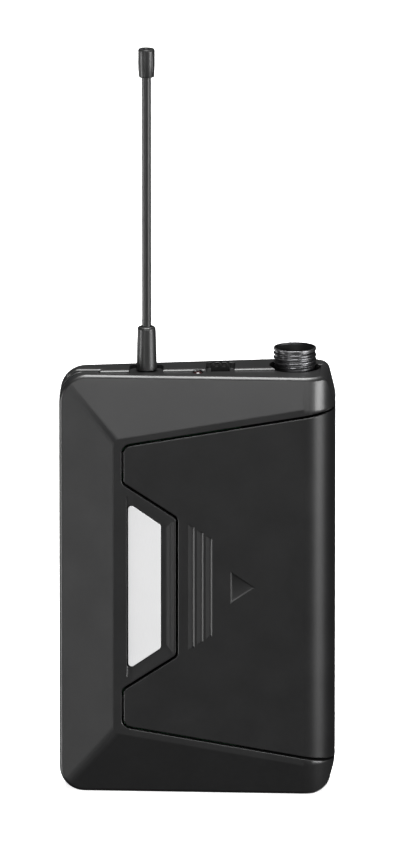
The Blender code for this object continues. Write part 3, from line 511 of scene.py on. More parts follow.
def case_planes(top_left_round, steps=ARC_STEPS):
    planes = side_planes(fillet(plan_corners(), 20), lambda p: Vector((p.x, p.y, 0)))
    planes += side_planes(fillet(face_corners(top_left_round), steps), lambda p: Vector((p.x, 0, p.y)))
    return planes + front_planes()


def inside_all(planes):
    """What is left of a big cube inside every plane."""
    bm = bmesh.new()
    bmesh.ops.create_cube(bm, size=FAR)
    for point, normal in planes:
        everything = bm.verts[:] + bm.edges[:] + bm.faces[:]
        sliced = bmesh.ops.bisect_plane(
            bm, geom=everything, dist=1e-8, plane_co=point, plane_no=normal, clear_outer=True
        )
        edges = [part for part in sliced["geom_cut"] if isinstance(part, bmesh.types.BMEdge)]
        open_edges = [edge for edge in edges if edge.is_boundary]
        if open_edges:
            bmesh.ops.edgeloop_fill(bm, edges=open_edges)
    bmesh.ops.remove_doubles(bm, verts=bm.verts, dist=2e-6)
    bmesh.ops.recalc_face_normals(bm, faces=bm.faces)
    return bm


def hull_object(name, planes):
    """The solid inside every plane, as a hull, which closes any face that the slicing left open."""
    bm = inside_all(planes)
    bmesh.ops.remove_doubles(bm, verts=bm.verts, dist=8e-6)
    corners = [corner.co.copy() for corner in bm.verts]
    bm.free()
    hull = bmesh.new()
    for corner in corners:
        hull.verts.new(corner)
    bmesh.ops.convex_hull(hull, input=hull.verts[:])
    loose = [corner for corner in hull.verts if not corner.link_faces]
    bmesh.ops.delete(hull, geom=loose, context="VERTS")
    bmesh.ops.dissolve_limit(hull, angle_limit=math.radians(0.1), verts=hull.verts, edges=hull.edges)
    return new_object(name, hull)


def rounded_case(name, planes, extra):
    """The convex case with every clear edge rounded, then sliced by one more plane."""
    core = inside_all([(point - normal * EDGE_ROUND, normal) for point, normal in planes])
    turns = []
    for edge in core.edges:
        first, second = (face.normal for face in edge.link_faces)
        count = math.ceil(first.angle(second) / ROUND_ANGLE)
        for step in range(1, count):
            normal = first.slerp(second, step / count)
            turns.append((edge.verts[0].co + normal * EDGE_ROUND, normal))
    core.free()
    return hull_object(name, planes + turns + [extra])


def cavity(inset=WALL):
    planes = [(point - normal * inset, normal) for point, normal in case_planes(TOP_LEFT_ROUND, 6)]
    return hull_object("cavity", planes)


def case_shell(name, top_left_round, shift, side, wall=WALL):
    """The hollow case in front of where it parts when side is 1, or behind it when side is -1."""
    parting = Vector((0, BACK_AT_CENTRE - PARTING_DEPTH + shift, 0))
    outward = Vector((-BACK_SLOPE, 1, 0)).normalized() * side
    made = rounded_case(name, case_planes(top_left_round), (parting, outward))
    return cut(made, cavity(wall))


def door_prism(margin, near=FRONT - 5 * mm, far=FRONT + 30 * mm):
    return prism_y("door_prism", fillet(offset_corners(door_corners(), margin), 10), near, far)


def panel_prism(margin=0, low=HEIGHT - 5 * mm, high=HEIGHT + 5 * mm):
    """The opening for the top panel, with the round well in which the microphone collar stands."""
    plate = prism_z("panel_prism", fillet(offset_corners(panel_corners(), margin)), low, high)
    return join(plate, rod("well", SOCKET, WELL_RADIUS + margin, low, high))


# --- finishing a piece ---


def merge_slivers(piece):
    """Merges corners that cuts left almost together, which a bevel would turn into spikes."""
    bm = bmesh.new()
    bm.from_mesh(piece.data)
    bmesh.ops.remove_doubles(bm, verts=bm.verts, dist=SLIVER)
    bmesh.ops.dissolve_degenerate(bm, edges=bm.edges, dist=SLIVER)
    bm.to_mesh(piece.data)
    bm.free()


def soften(piece, width, segments=2, limit=38):
    """Breaks the sharp edges of a piece with a small bevel."""
    bevel = piece.modifiers.new("Edges", "BEVEL")
    bevel.width = width
    bevel.segments = segments
    bevel.limit_method = "ANGLE"
    bevel.angle_limit = math.radians(limit)
    bevel.use_clamp_overlap = False
    return bake(piece)


def paint(mesh, slot):
    mesh.materials.clear()
    mesh.materials.append(looks[slot])


def dress(piece, slot, *nodes, body="case", sharp=50):
    """Shades a piece, gives it its material, and ties it to its body and the nodes it stands for."""
    mesh = piece.data
    paint(mesh, slot)
    for face in mesh.polygons:
        face.material_index = 0
    mesh.shade_smooth()
    mesh.set_sharp_from_angle(angle=math.radians(sharp))
    weighted = piece.modifiers.new("Normals", "WEIGHTED_NORMAL")
    weighted.keep_sharp = True
    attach(piece, body)
    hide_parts(*nodes)


# --- materials ---


def set_sockets(node, values):
    for key, value in values.items():
        node.inputs[key].default_value = value


class Shader:
    """A Principled material whose colour, roughness and bump are driven by noise in object space."""

    def __init__(self, name, colour, metallic=0.0, specular=0.5):
        self.material = bpy.data.materials.new(name)
        self.material.use_nodes = True
        self.tree = self.material.node_tree
        self.shader = self.tree.nodes["Principled BSDF"]
        set_sockets(self.shader, {"Metallic": metallic, "Specular IOR Level": specular})
        self.place = self.add("ShaderNodeTexCoord").outputs["Object"]
        self.colour = colour

    def add(self, kind, **values):
        node = self.tree.nodes.new(kind)
        for key, value in values.items():
            if hasattr(node, key):
                setattr(node, key, value)
            else:
                node.inputs[key.replace("_", " ")].default_value = value
        return node

    def link(self, start, end):
        self.tree.links.new(start, end)

    def noise(self, size, detail=2.0, stretch=None, roughness=0.5):
        """Noise whose blotches are about that size."""
        place = self.place
        if stretch:
            mapping = self.add("ShaderNodeMapping", vector_type="TEXTURE")
            mapping.inputs["Scale"].default_value = stretch
            self.link(place, mapping.inputs["Vector"])
            place = mapping.outputs["Vector"]
        node = self.add("ShaderNodeTexNoise", Scale=1 / size, Detail=detail, Roughness=roughness)
        self.link(place, node.inputs["Vector"])
        return node.outputs["Fac"]

    def spread(self, value, low, high, from_low=0.3, from_high=0.7):
        node = self.add("ShaderNodeMapRange")
        set_sockets(node, {"From Min": from_low, "From Max": from_high, "To Min": low, "To Max": high})
        self.link(value, node.inputs["Value"])
        return node.outputs["Result"]

    def tint(self, value, dark, light):
        """Runs the base colour between two shades of itself."""
        node = self.add("ShaderNodeMix", data_type="RGBA")
        for socket, shade in ((node.inputs[6], dark), (node.inputs[7], light)):
            socket.default_value = (*[min(c * shade, 1) for c in self.colour], 1)
        self.link(self.spread(value, 0, 1), node.inputs["Factor"])
        self.link(node.outputs[2], self.shader.inputs["Base Color"])

    def gloss(self, value, low, high):
        """Runs the roughness between two values."""
        self.link(self.spread(value, low, high), self.shader.inputs["Roughness"])

    def steps(self, share, socket, ends, bands):
        """Feeds a socket in plain bands of (start, colour), between two ends of one colour."""
        node = self.add("ShaderNodeValToRGB")
        node.color_ramp.interpolation = "CONSTANT"
        ramp = node.color_ramp.elements
        ramp[0].color = (*ends, 1)
        ramp[1].position = 0.965
        ramp[1].color = (*ends, 1)
        for start, colour in bands:
            ramp.new(start).color = (*colour, 1)
        self.link(share, node.inputs["Fac"])
        self.link(node.outputs["Color"], self.shader.inputs[socket])

    def bumps(self, layers):
        """Adds bump layers of (height signal, height in metres), the coarsest first."""
        normal = None
        for signal, height in layers:
            bump = self.add("ShaderNodeBump", Strength=1.0, Distance=height)
            self.link(signal, bump.inputs["Height"])
            if normal:
                self.link(normal, bump.inputs["Normal"])
            normal = bump.outputs["Normal"]
        self.link(normal, self.shader.inputs["Normal"])


def moulded(name, colour, roughness, grain=0.16 * mm, depth=0.0035 * mm, specular=0.5):
    """Spark-grained moulded plastic: a fine even grain, with faint broad differences in gloss."""
    made = Shader(name, colour, specular=specular)
    fine = made.noise(grain, 3.0, roughness=0.6)
    broad = made.noise(9 * mm, 3.0)
    middle = made.noise(1.4 * mm, 4.0)
    made.tint(middle, 0.93, 1.07)
    blend = made.add("ShaderNodeMath", operation="ADD")
    made.link(made.spread(broad, roughness - 0.02, roughness + 0.02), blend.inputs[0])
    made.link(made.spread(fine, -0.02, 0.02), blend.inputs[1])
    made.link(blend.outputs[0], made.shader.inputs["Roughness"])
    made.bumps([(middle, depth * 0.5), (fine, depth)])
    return made.material


def machined(name, colour, roughness, stretch, size=0.12 * mm, depth=0.0007 * mm):
    """Metal with fine tool marks, drawn out along the stretch."""
    made = Shader(name, colour, metallic=1.0)
    marks = made.noise(size, 3.0, stretch, 0.6)
    stain = made.noise(2.2 * mm, 3.0)
    made.tint(stain, 0.88, 1.06)
    made.gloss(marks, roughness - 0.07, roughness + 0.1)
    made.bumps([(stain, depth), (marks, depth)])
    return made.material


def brushed_plate(name):
    """A pale silver foil plate with an upright brushing too fine to see from afar."""
    made = Shader(name, (0.69, 0.69, 0.694), metallic=0.15)
    marks = made.noise(0.07 * mm, 3.0, (1, 1, 26), 0.6)
    broad = made.noise(6 * mm, 2.0)
    made.tint(marks, 0.965, 1.02)
    made.gloss(broad, 0.38, 0.46)
    made.bumps([(marks, 0.0006 * mm)])
    return made.material


def circuit_board(name):
    """Green solder mask over faint copper tracks."""
    made = Shader(name, (0.018, 0.115, 0.045))
    tracks = made.add("ShaderNodeTexBrick", Scale=260.0)
    made.link(made.place, tracks.inputs["Vector"])
    cloth = made.noise(0.5 * mm, 3.0)
    made.tint(tracks.outputs["Fac"], 0.75, 1.35)
    made.gloss(cloth, 0.32, 0.44)
    made.bumps([(tracks.outputs["Fac"], 0.02 * mm), (cloth, 0.002 * mm)])
    return made.material


def clear_plastic(name, colour, roughness, transmission):
    """Tinted plastic that lets light through, with tiny flow marks."""
    made = Shader(name, colour)
    made.shader.inputs["Transmission Weight"].default_value = transmission
    flow = made.noise(0.6 * mm, 3.0)
    made.tint(flow, 0.85, 1.15)
    made.gloss(flow, roughness * 0.8, roughness * 1.3)
    made.bumps([(flow, 0.002 * mm)])
    return made.material


def cell_jacket(name):
    """A printed sleeve in two plain bands, with bare steel at both ends."""
    made = Shader(name, (0.30, 0.31, 0.33))
    split = made.add("ShaderNodeSeparateXYZ")
    made.link(made.place, split.inputs[0])
    share = made.spread(split.outputs["Z"], 0, 1, CELL_BOTTOM, CELL_BOTTOM + CELL_LENGTH)
    bare = (0.62, 0.62, 0.63)
    bands = ((0.016, (0.035, 0.037, 0.042)), (0.72, (0.42, 0.44, 0.47)), (0.74, (0.045, 0.12, 0.26)))
    made.steps(share, "Base Color", bare, bands)
    made.steps(share, "Metallic", (1, 1, 1), [(0.016, (0.15, 0.15, 0.15))])
    scuffs = made.noise(1.2 * mm, 4.0)
    made.gloss(scuffs, 0.24, 0.38)
    made.bumps([(scuffs, 0.002 * mm)])
    return made.material


MATERIALS = {
    "case_plastic": (moulded, (0.0100, 0.0100, 0.0102), 0.36),
    # The same plastic as the case, with its colour lowered as painted shade to darken the flat door
    "door_plastic": (moulded, (0.0080, 0.0080, 0.0082), 0.36),
    # Real black plastic, given a colour and specular lower than the case plastic as painted shade, so
    # that the connector's bore reads black
    "inner_plastic": (moulded, (0.0040, 0.0040, 0.0040), 0.5, 0.16 * mm, 0.0035 * mm, 0.15),
    "clip_plastic": (moulded, (0.0115, 0.0115, 0.0115), 0.38),
    "antenna_rubber": (moulded, (0.015, 0.015, 0.015), 0.34, 0.12 * mm, 0.0025 * mm),
    "nameplate_silver": (brushed_plate,),
    "dark_metal": (machined, (0.16, 0.16, 0.165), 0.33, (1, 1, 0.2)),
    "steel": (machined, (0.56, 0.56, 0.57), 0.28, (6, 1, 1)),
    "brass": (machined, (0.70, 0.52, 0.25), 0.3, (1, 1, 0.25)),
    "board_green": (circuit_board,),
    "dial_ivory": (moulded, (0.66, 0.63, 0.53), 0.4, 0.2 * mm, 0.002 * mm),
    "lamp_red": (clear_plastic, (0.02, 0.002, 0.002), 0.2, 0.2),
    "led_clear": (clear_plastic, (0.8, 0.8, 0.78), 0.15, 0.8),
    "cell_jacket": (cell_jacket,),
}
looks = {name: make(name, *values) for name, (make, *values) in MATERIALS.items()}


# --- the case ---


def front_cover():
    cover = case_shell("front_cover_shell", TOP_LEFT_ROUND, 0, 1)
    for x, z in SCREW_PLACES:
        end = back_at(x) - SCREW_SEAM
        start = front_at(x, z) + 1.0 * mm
        join(cover, rod_y("boss", x, z, 2.3 * mm, start, end, 24))
        cut(cover, rod_y("hole", x, z, 1.1 * mm, start + WALL, end + GAP, 20))
    tongue = tapered_corners(RIM_LEFT, NOTCH_RIGHT + GAP, 25.4 * mm, 15.8 * mm, 0)
    join(cover, prism_y("tongue", fillet(tongue), FRONT + 1.0 * mm, FRONT + 2.4 * mm))
    cut(cover, door_prism(DOOR_GAP / 2))
    floor = tapered_corners(PLATE_LEFT - GAP, -6.9 * mm, 20.1 * mm, 14.0 * mm, 0.9 * mm)
    mouth = tapered_corners(PLATE_LEFT - GAP, -5.4 * mm, 22.3 * mm, 15.6 * mm, 0.9 * mm)
    levels = ((mouth, FRONT - 1 * mm), (mouth, FRONT), (floor, FRONT + RECESS_DEPTH))
    cut(cover, loft_y("recess", *[(fillet(shape), y) for shape, y in levels]))
    cut(cover, panel_prism(), lamp_bore())
    merge_slivers(cover)
    soften(cover, 0.16 * mm)
    dress(cover, "case_plastic", "front_cover")


def lamp_bore():
    """The hole for the lamp, which opens at the seam between the front cover and the top panel."""
    return rod("lamp_bore", LAMP, LAMP_RADIUS + GAP, BELOW, ABOVE)


def clip_matrix():
    """Places a shape drawn across, out of and up the back: the origin is under the clip's pivot."""
    along = Vector((1, BACK_SLOPE, 0)).normalized()
    outward = Vector((-along.y, along.x, 0))
    origin = Vector((CLIP_X, back_at(CLIP_X), CLIP_PIVOT_HEIGHT))
    columns = (along, outward, Vector((0, 0, 1)), origin)
    rows = [[column[row] for column in columns] for row in range(3)]
    return Matrix(rows + [[0, 0, 0, 1]])


def across_prism(name, outline, half_width, centre=0.0):
    """An outline in the clip frame's outward and upward axes, run across the back."""
    place, ends = clip_matrix(), (centre - half_width, centre + half_width)
    return loft(name, *[[place @ Vector((end, p.x, p.y)) for p in outline] for end in ends])


def pivot_rod(name, radius, sides, half_width, centre=0.0):
    """A round rod across the back, about the clip's pivot."""
    turn = 2 * math.pi / sides
    ring = [Vector((radius * math.cos(turn * k), radius * math.sin(turn * k))) for k in range(sides)]
    outline = [p + Vector((CLIP_PIVOT_STANDOFF, 0)) for p in ring]
    return across_prism(name, outline, half_width, centre)


def clip_lugs():
    """Two lugs on the back that hold the clip's pin."""
    lugs = []
    for side in (-1, 1):
        centre = side * (CLIP_HALF_WIDTH + GAP + LUG_WIDTH / 2)
        tall = CLIP_PIVOT_STANDOFF + BARREL_RADIUS
        corners = [
            (-1.0 * mm, -5.5 * mm, 0),
            (tall, -BARREL_RADIUS, BARREL_RADIUS * 0.9),
            (tall, BARREL_RADIUS, BARREL_RADIUS * 0.9),
            (-1.0 * mm, 5.5 * mm, 0),
        ]
        lug = across_prism("lug", fillet(corners), LUG_WIDTH / 2, centre)
        lugs.append(cut(lug, pivot_rod("hole", PIN_RADIUS + GAP, 32, LUG_WIDTH, centre)))
    return lugs


def rear_cover():
    cover = case_shell("rear_cover_shell", LEFT_ROUND, GAP, -1)
    for x, z in SCREW_PLACES:
        start = back_at(x) - SCREW_SEAM + GAP
        join(cover, rod_y("post", x, z, 2.8 * mm, start, back_at(x) - 0.9 * mm, 24))
        bore = rod_y("bore", x, z, 1.2 * mm, start - GAP, back_at(x) + 2 * mm, 20)
        head = rod_y("head", x, z, 2.2 * mm, back_at(x) - SCREW_HEAD_DEPTH, back_at(x) + 2 * mm, 40)
        cut(cover, bore, head)
    cut(cover, panel_prism())
    join(cover, *clip_lugs())
    soften(cover, 0.2 * mm)
    dress(cover, "case_plastic", "rear_cover")


def groove_cutter(x, half):
    """A lopsided V with slanted ends: a wide gentle left wall and a steeper right wall."""
    levels = []
    for y, left, right, shorter in (
        (FRONT - 1 * mm, x - GROOVE_HALF_WIDTH, x + GROOVE_HALF_WIDTH, 0),
        (FRONT, x - GROOVE_HALF_WIDTH, x + GROOVE_HALF_WIDTH, 0),
        (FRONT + GROOVE_DEPTH, x + GROOVE_BOTTOM, x + GROOVE_BOTTOM + 0.06 * mm, 0.5 * mm),
    ):
        left_half = half - shorter
        corners = tapered_corners(left, right, left_half, left_half - 0.7 * mm, 0)
        levels.append((fillet(corners), y))
    return loft_y("groove", *levels)


def arrow_cutter():
    corners = [
        (ARROW_LEFT, MIDDLE - ARROW_HALF_HEIGHT, 0),
        (ARROW_LEFT + ARROW_LENGTH, MIDDLE, 0),
        (ARROW_LEFT, MIDDLE + ARROW_HALF_HEIGHT, 0),
    ]
    levels = ((FRONT - 1 * mm, 0), (FRONT, 0), (FRONT + ARROW_DEPTH, -0.5 * mm))
    return loft_y("arrow", *[(fillet(offset_corners(corners, margin)), y) for y, margin in levels])


def battery_door():
    door = case_shell("battery_door_shell", TOP_LEFT_ROUND, -GAP, 1, DOOR_WALL)
    trim(door, door_prism(-DOOR_GAP / 2))
    for side in (-1, 1):
        low, high = sorted((MIDDLE + side * 26 * mm, MIDDLE + side * 31 * mm))
        tab_left = DOOR_LEFT - 1.6 * mm
        tab = box("tab", (tab_left, FRONT + 1.9 * mm, low), (-13 * mm, FRONT + 2.7 * mm, high))
        stem = box("stem", (-15.8 * mm, FRONT + 1.2 * mm, low), (-13 * mm, FRONT + 2.2 * mm, high))
        join(door, tab, stem)
    soften(door, 0.24 * mm)
    for x, half in GROOVE_PLACES:
        cut(door, groove_cutter(x, half))
    cut(door, arrow_cutter())
    dress(door, "door_plastic", "battery_door", body="door")


def nameplate():
    corners = tapered_corners(PLATE_LEFT, PLATE_RIGHT, PLATE_LEFT_HALF, PLATE_RIGHT_HALF, 0.8 * mm)
    back = FRONT + RECESS_DEPTH - GAP
    plate = prism_y("nameplate_foil", fillet(corners), back - PLATE_THICKNESS, back)
    soften(plate, 0.1 * mm)
    dress(plate, "nameplate_silver", "nameplate")


def top_panel():
    """The plate in the top of the case; its upper edges fall away in a shallow crown."""
    outlines = [(0, PANEL_BOTTOM - 1 * mm)]
    for step in range(7):
        angle = math.radians(90) * step / 6
        inward = PANEL_CROWN * (1 - math.cos(angle))
        outlines.append((inward, PANEL_TOP - PANEL_RISE * (1 - math.sin(angle))))
    rings = []
    for inward, height in outlines:
        outline = fillet(offset_corners(panel_corners(), -PANEL_MARGIN - inward))
        rings.append([(p.x, p.y, height) for p in outline])
    panel = loft("top_panel_plate", *rings)
    grown = [(point + normal * PANEL_RISE, normal) for point, normal in case_planes(LEFT_ROUND)]
    trim(panel, hull_object("limit", grown))
    flange = panel_prism(FLANGE_REACH, FLANGE_BOTTOM, PANEL_BOTTOM - GAP)
    join(panel, trim(flange, cavity(WALL + GAP)))
    for centre, half, back, corner, floor in (
        (ANTENNA.x, ANTENNA_POCKET_HALF, ANTENNA_POCKET_BACK, 2.5 * mm, ANTENNA_POCKET_FLOOR),
        (SWITCH.x, SWITCH_POCKET_HALF, SWITCH.y + SWITCH_POCKET_REACH, 0.6 * mm, SWITCH_POCKET_FLOOR),
    ):
        left, right = centre - half, centre + half
        pocket = [(left, FRONT, 0), (right, FRONT, 0), (right, back, corner), (left, back, corner)]
        cut(panel, prism_z("pocket", fillet(pocket), floor, ABOVE))
    cut(panel, rod("well", SOCKET, WELL_RADIUS, WELL_FLOOR, ABOVE), lamp_bore())
    for place, radius in ((ANTENNA, WHIP_RADIUS + GAP), (SOCKET, COLLAR_RADIUS + GAP)):
        cut(panel, rod("hole", place, radius, BELOW, ABOVE))
    cut(panel, switch_box("slot", 2.15 * mm, 1.1 * mm, BELOW, ABOVE))
    soften(panel, 0.08 * mm)
    dress(panel, "case_plastic", "top_panel")


def inner_panel():
    """The plate behind the door, which covers the board and lets the dials through."""
    far = INNER_PANEL_FRONT + 1.2 * mm
    panel = door_prism(-1.3 * mm, INNER_PANEL_FRONT, far)
    panel.name = "inner_panel_plate"
    low = (DOOR_LEFT - 1 * mm, FRONT, MIDDLE - 34.2 * mm)
    high = (INNER_PANEL_RIGHT, FRONT + 9 * mm, MIDDLE + 34.2 * mm)
    trim(panel, box("limit", low, high))
    for x, half in ((-12.5 * mm, 27.5 * mm), (8.5 * mm, 32.0 * mm)):
        for side in (-1, 1):
            start = INNER_PANEL_FRONT + 0.6 * mm
            join(panel, rod_y("foot", x, MIDDLE + side * half, 1.1 * mm, start, BOARD_FRONT - GAP, 20))
    for _, x, z, radius, _ in DIALS.values():
        cut(panel, rod_y("hole", x, z, radius + 0.4 * mm, FRONT, FRONT + 6 * mm))
    soften(panel, 0.15 * mm)
    dress(panel, "inner_plastic", "inner_panel")


def dial_marks():
    """Short raised strokes round each dial, one for every setting."""
    marks = []
    for _, x, z, radius, count in DIALS.values():
        sweep = 360 if count == 16 else 270
        for step in range(count):
            share = step / (count if sweep == 360 else count - 1)
            angle = math.radians(90 + sweep / 2 - sweep * share)
            outward = spoke(angle).xy
            across = Vector((-outward.y, outward.x)) * 0.11 * mm
            start = Vector((x, z)) + outward * (radius + 0.75 * mm)
            end = start + outward * (1.2 * mm if step % 4 == 0 else 0.75 * mm)
            outline = [start - across, end - across, end + across, start + across]
            near = INNER_PANEL_FRONT - 0.06 * mm
            marks.append(prism_y("mark", outline, near, INNER_PANEL_FRONT + 0.3 * mm))
    first = join(marks[0], *marks[1:])
    first.name = "dial_marks"
    dress(first, "dial_ivory")


# --- the antenna ---


def antenna():
    floor = ANTENNA_POCKET_FLOOR + GAP
    bore = WHIP_RADIUS + GAP
    boot = [
        (bore, floor, 0),
        (BOOT_RADIUS, floor, 0.15 * mm),
        (BOOT_RADIUS - 0.3 * mm, BOOT_TOP, 0.7 * mm),
        (bore, BOOT_TOP, 0.1 * mm),
    ]
    made = lathe("antenna_boot_sleeve", ANTENNA, boot)
    dress(made, "antenna_rubber", "antenna_boot", sharp=40)
    foot, end = FLANGE_BOTTOM - 3 * mm, ANTENNA_TOP - 1.5 * mm
    made = rod("antenna_whip_rod", ANTENNA, WHIP_RADIUS, foot, end, sides=48)
    dress(made, "antenna_rubber", "antenna_whip", sharp=40)
    low = ANTENNA_TOP - TIP_LENGTH
    tip = [
        (bore, low, 0.1 * mm),
        (TIP_RADIUS - 0.1 * mm, low, 0.35 * mm),
        (TIP_RADIUS, low + 3 * mm, 0),
        (TIP_RADIUS, ANTENNA_TOP - 0.35 * mm, 0.1 * mm),
        (TIP_RADIUS - 0.2 * mm, ANTENNA_TOP, 0.1 * mm),
        (0.95 * mm, ANTENNA_TOP, 0.1 * mm),
        (0.8 * mm, ANTENNA_TOP - 0.5 * mm, 0),
        (0, ANTENNA_TOP - 0.5 * mm, 0),
    ]
    inside = [(0, ANTENNA_TOP - 1.2 * mm, 0), (bore, ANTENNA_TOP - 1.2 * mm, 0)]
    made = lathe("antenna_tip_cap", ANTENNA, inside + tip)
    flats = []
    for step in range(6):
        angle = 2 * math.pi * step / 6 + 0.3
        centre = ANTENNA + spoke(angle) * (TIP_RADIUS + 0.22 * mm)
        flats.append(rod("flute", centre, 0.32 * mm, low + 1.4 * mm, end, sides=16))
    cut(made, *flats)
    dress(made, "antenna_rubber", "antenna_tip", sharp=40)


# --- the microphone connector ---


def thread_radius(angle, height):
    """The collar's outside, with a thread that runs out under the plain rim."""
    start, stop = HEIGHT + 0.3 * mm, COLLAR_TOP - 0.75 * mm
    turn = (height - start) / THREAD_PITCH - angle / (2 * math.pi)
    ridge = 0.5 - 0.5 * math.cos(2 * math.pi * turn)
    ridge = min(max(1.35 * ridge - 0.1, 0), 1)
    fade = min(max((height - start) / (0.4 * mm), 0), 1) * min(max((stop - height) / (0.35 * mm), 0), 1)
    return THREAD_ROOT + (COLLAR_RADIUS - THREAD_ROOT) * ridge * fade


def mic_collar():
    low = FLANGE_BOTTOM - 4 * mm
    sides = 120
    rows = [(lambda a: THREAD_ROOT, low)]
    first, last, count = HEIGHT, COLLAR_TOP - 0.6 * mm, 66
    for step in range(count + 1):
        height = first + (last - first) * step / count
        rows.append((lambda a, height=height: thread_radius(a, height), height))
    rim = fillet([
        (THREAD_ROOT, last, 0),
        (COLLAR_RADIUS - 0.02 * mm, COLLAR_TOP - 0.5 * mm, 0.08 * mm),
        (COLLAR_RADIUS - 0.02 * mm, COLLAR_TOP, 0.12 * mm),
        (MOUTH_RADIUS, COLLAR_TOP, 0.05 * mm),
        (MOUTH_RADIUS, MOUTH_FLOOR, 0),
        (COLLAR_BORE, MOUTH_FLOOR, 0),
        (COLLAR_BORE, low, 0),
    ], 5)
    rows += [(lambda a, radius=p.x: radius, p.y) for p in rim[1:]]
    rings = []
    for radius_at, height in rows:
        ring = []
        for side in range(sides):
            angle = 2 * math.pi * side / sides
            arm = spoke(angle) * radius_at(angle)
            ring.append(SOCKET + arm + Vector((0, 0, height)))
        rings.append(ring)
    made = loft("mic_collar_thread", *rings, hollow=True)
    dress(made, "dark_metal", "mic_collar", sharp=60)


def mic_insert():
    """The black core of the connector, which lines the collar, with its jack bore."""
    low, floor = HEIGHT - 18 * mm, INSERT_FLOOR
    bottom = floor - 14.2 * mm
    outline = [
        (0, low, 0),
        (COLLAR_BORE - GAP, low, 0.2 * mm),
        (COLLAR_BORE - GAP, MOUTH_FLOOR + GAP, 0),
        (MOUTH_RADIUS - GAP, MOUTH_FLOOR + GAP, 0),
        (MOUTH_RADIUS - GAP, COLLAR_TOP - 0.15 * mm, 0.05 * mm),
        (INSERT_BORE, MOUTH_FLOOR, 0.1 * mm),
        (INSERT_BORE, floor, 0.1 * mm),
        (1.8 * mm, floor, 0.2 * mm),
        (1.8 * mm, bottom, 0),
        (0, bottom, 0),
    ]
    made = lathe("mic_jack_core", SOCKET, outline)
    # the inner plastic here is darkened past its own black as painted shade, which keeps the collar's
    # bore black
    dress(made, "inner_plastic", "mic_jack_insert", sharp=40)


# --- the switch and the lamp ---


def switch_box(name, across, deep, low, high):
    """A box round the switch's middle, from its half width and half depth."""
    x, y = SWITCH.xy
    return box(name, (x - across, y - deep, low), (x + across, y + deep, high))


def power_switch():
    floor = SWITCH_POCKET_FLOOR + GAP
    knob = switch_box("power_switch_cap", 2.1 * mm, 1.5 * mm, floor, floor + 1.2 * mm)
    ridges = []
    for shift in (-1.6 * mm, 0.0, 1.6 * mm):
        shape = ((-0.5, 1.0), (0.5, 1.0), (0.26, 1.9), (-0.26, 1.9))
        outline = [Vector((SWITCH.x + shift + a * mm, floor + b * mm)) for a, b in shape]
        ridges.append(prism_y("ridge", outline, SWITCH.y - 1.5 * mm, SWITCH.y + 1.5 * mm))
    stem = switch_box("stem", 0.7 * mm, 0.7 * mm, FLANGE_BOTTOM + GAP, floor + 0.5 * mm)
    join(knob, *ridges, stem)
    soften(knob, 0.09 * mm)
    dress(knob, "inner_plastic", "power_switch_knob", body="switch")


def lamp():
    outline = [
        (0, FLANGE_BOTTOM + GAP, 0),
        (LAMP_RADIUS, FLANGE_BOTTOM + GAP, 0),
        (LAMP_RADIUS, HEIGHT - 0.15 * mm, 0.2 * mm),
        (0.5 * mm, HEIGHT + 0.1 * mm, 0.5 * mm),
        (0, HEIGHT + 0.1 * mm, 0),
    ]
    made = lathe("lamp_lens_dome", LAMP, outline, sides=48)
    dress(made, "lamp_red", "lamp_lens", sharp=40)


# --- the dials and the battery ---


def dial(name, body, x, z, radius):
    """A screwdriver-set dial with a slot, and a small pointer dent at one end of it."""
    near = FRONT + 2.6 * mm
    far = INNER_PANEL_FRONT + 1.2 * mm
    outline = [(0, far, 0), (radius, far, 0), (radius, near, 0.25 * mm), (0, near, 0)]
    knob = lathe(name + "_rotor", Vector((x, 0, z)), outline, "Y")
    low = (x - 0.4 * mm, near - 1 * mm, z - radius * 0.75)
    high = (x + 0.4 * mm, near + 0.8 * mm, z + radius * 0.75)
    dent = rod_y("dent", x, z + radius * 0.86, 0.2 * mm, near - 1 * mm, near + 0.2 * mm, 16)
    cut(knob, box("slot", low, high), dent)
    soften(knob, 0.06 * mm, limit=55)
    dress(knob, "dial_ivory", name + "_dial", body=body)


def dials():
    for name, (body, x, z, radius, _) in DIALS.items():
        dial(name, body, x, z, radius)


def battery():
    top = CELL_BOTTOM + CELL_LENGTH
    outline = [
        (0, CELL_BOTTOM + 0.15 * mm, 0),
        (4.2 * mm, CELL_BOTTOM + 0.15 * mm, 0),
        (4.6 * mm, CELL_BOTTOM, 0.1 * mm),
        (CELL_RADIUS, CELL_BOTTOM, 0.7 * mm),
        (CELL_RADIUS, top - 1.4 * mm, 0.7 * mm),
        (5.2 * mm, top - 1.2 * mm, 0.2 * mm),
        (2.7 * mm, top - 1.1 * mm, 0.2 * mm),
        (2.7 * mm, top, 0.4 * mm),
        (0, top, 0),
    ]
    made = lathe("battery_cell_sleeve", CELL, outline)
    dress(made, "cell_jacket", "battery_cell", sharp=40)
    floor = CELL_BOTTOM - 6 * mm
    wire = 0.35 * mm
    spring = coil(
        "battery_spring_wire",
        Vector((CELL.x, CELL.y, floor + GAP + wire)),
        Matrix.Identity(3),
        lambda share: (4.6 - 1.8 * share) * mm,
        CELL_BOTTOM - floor - 2 * (GAP + wire),
        3.5,
        wire,
    )
    dress(spring, "steel", "battery_contact_spring")


# --- the belt clip and the screws ---


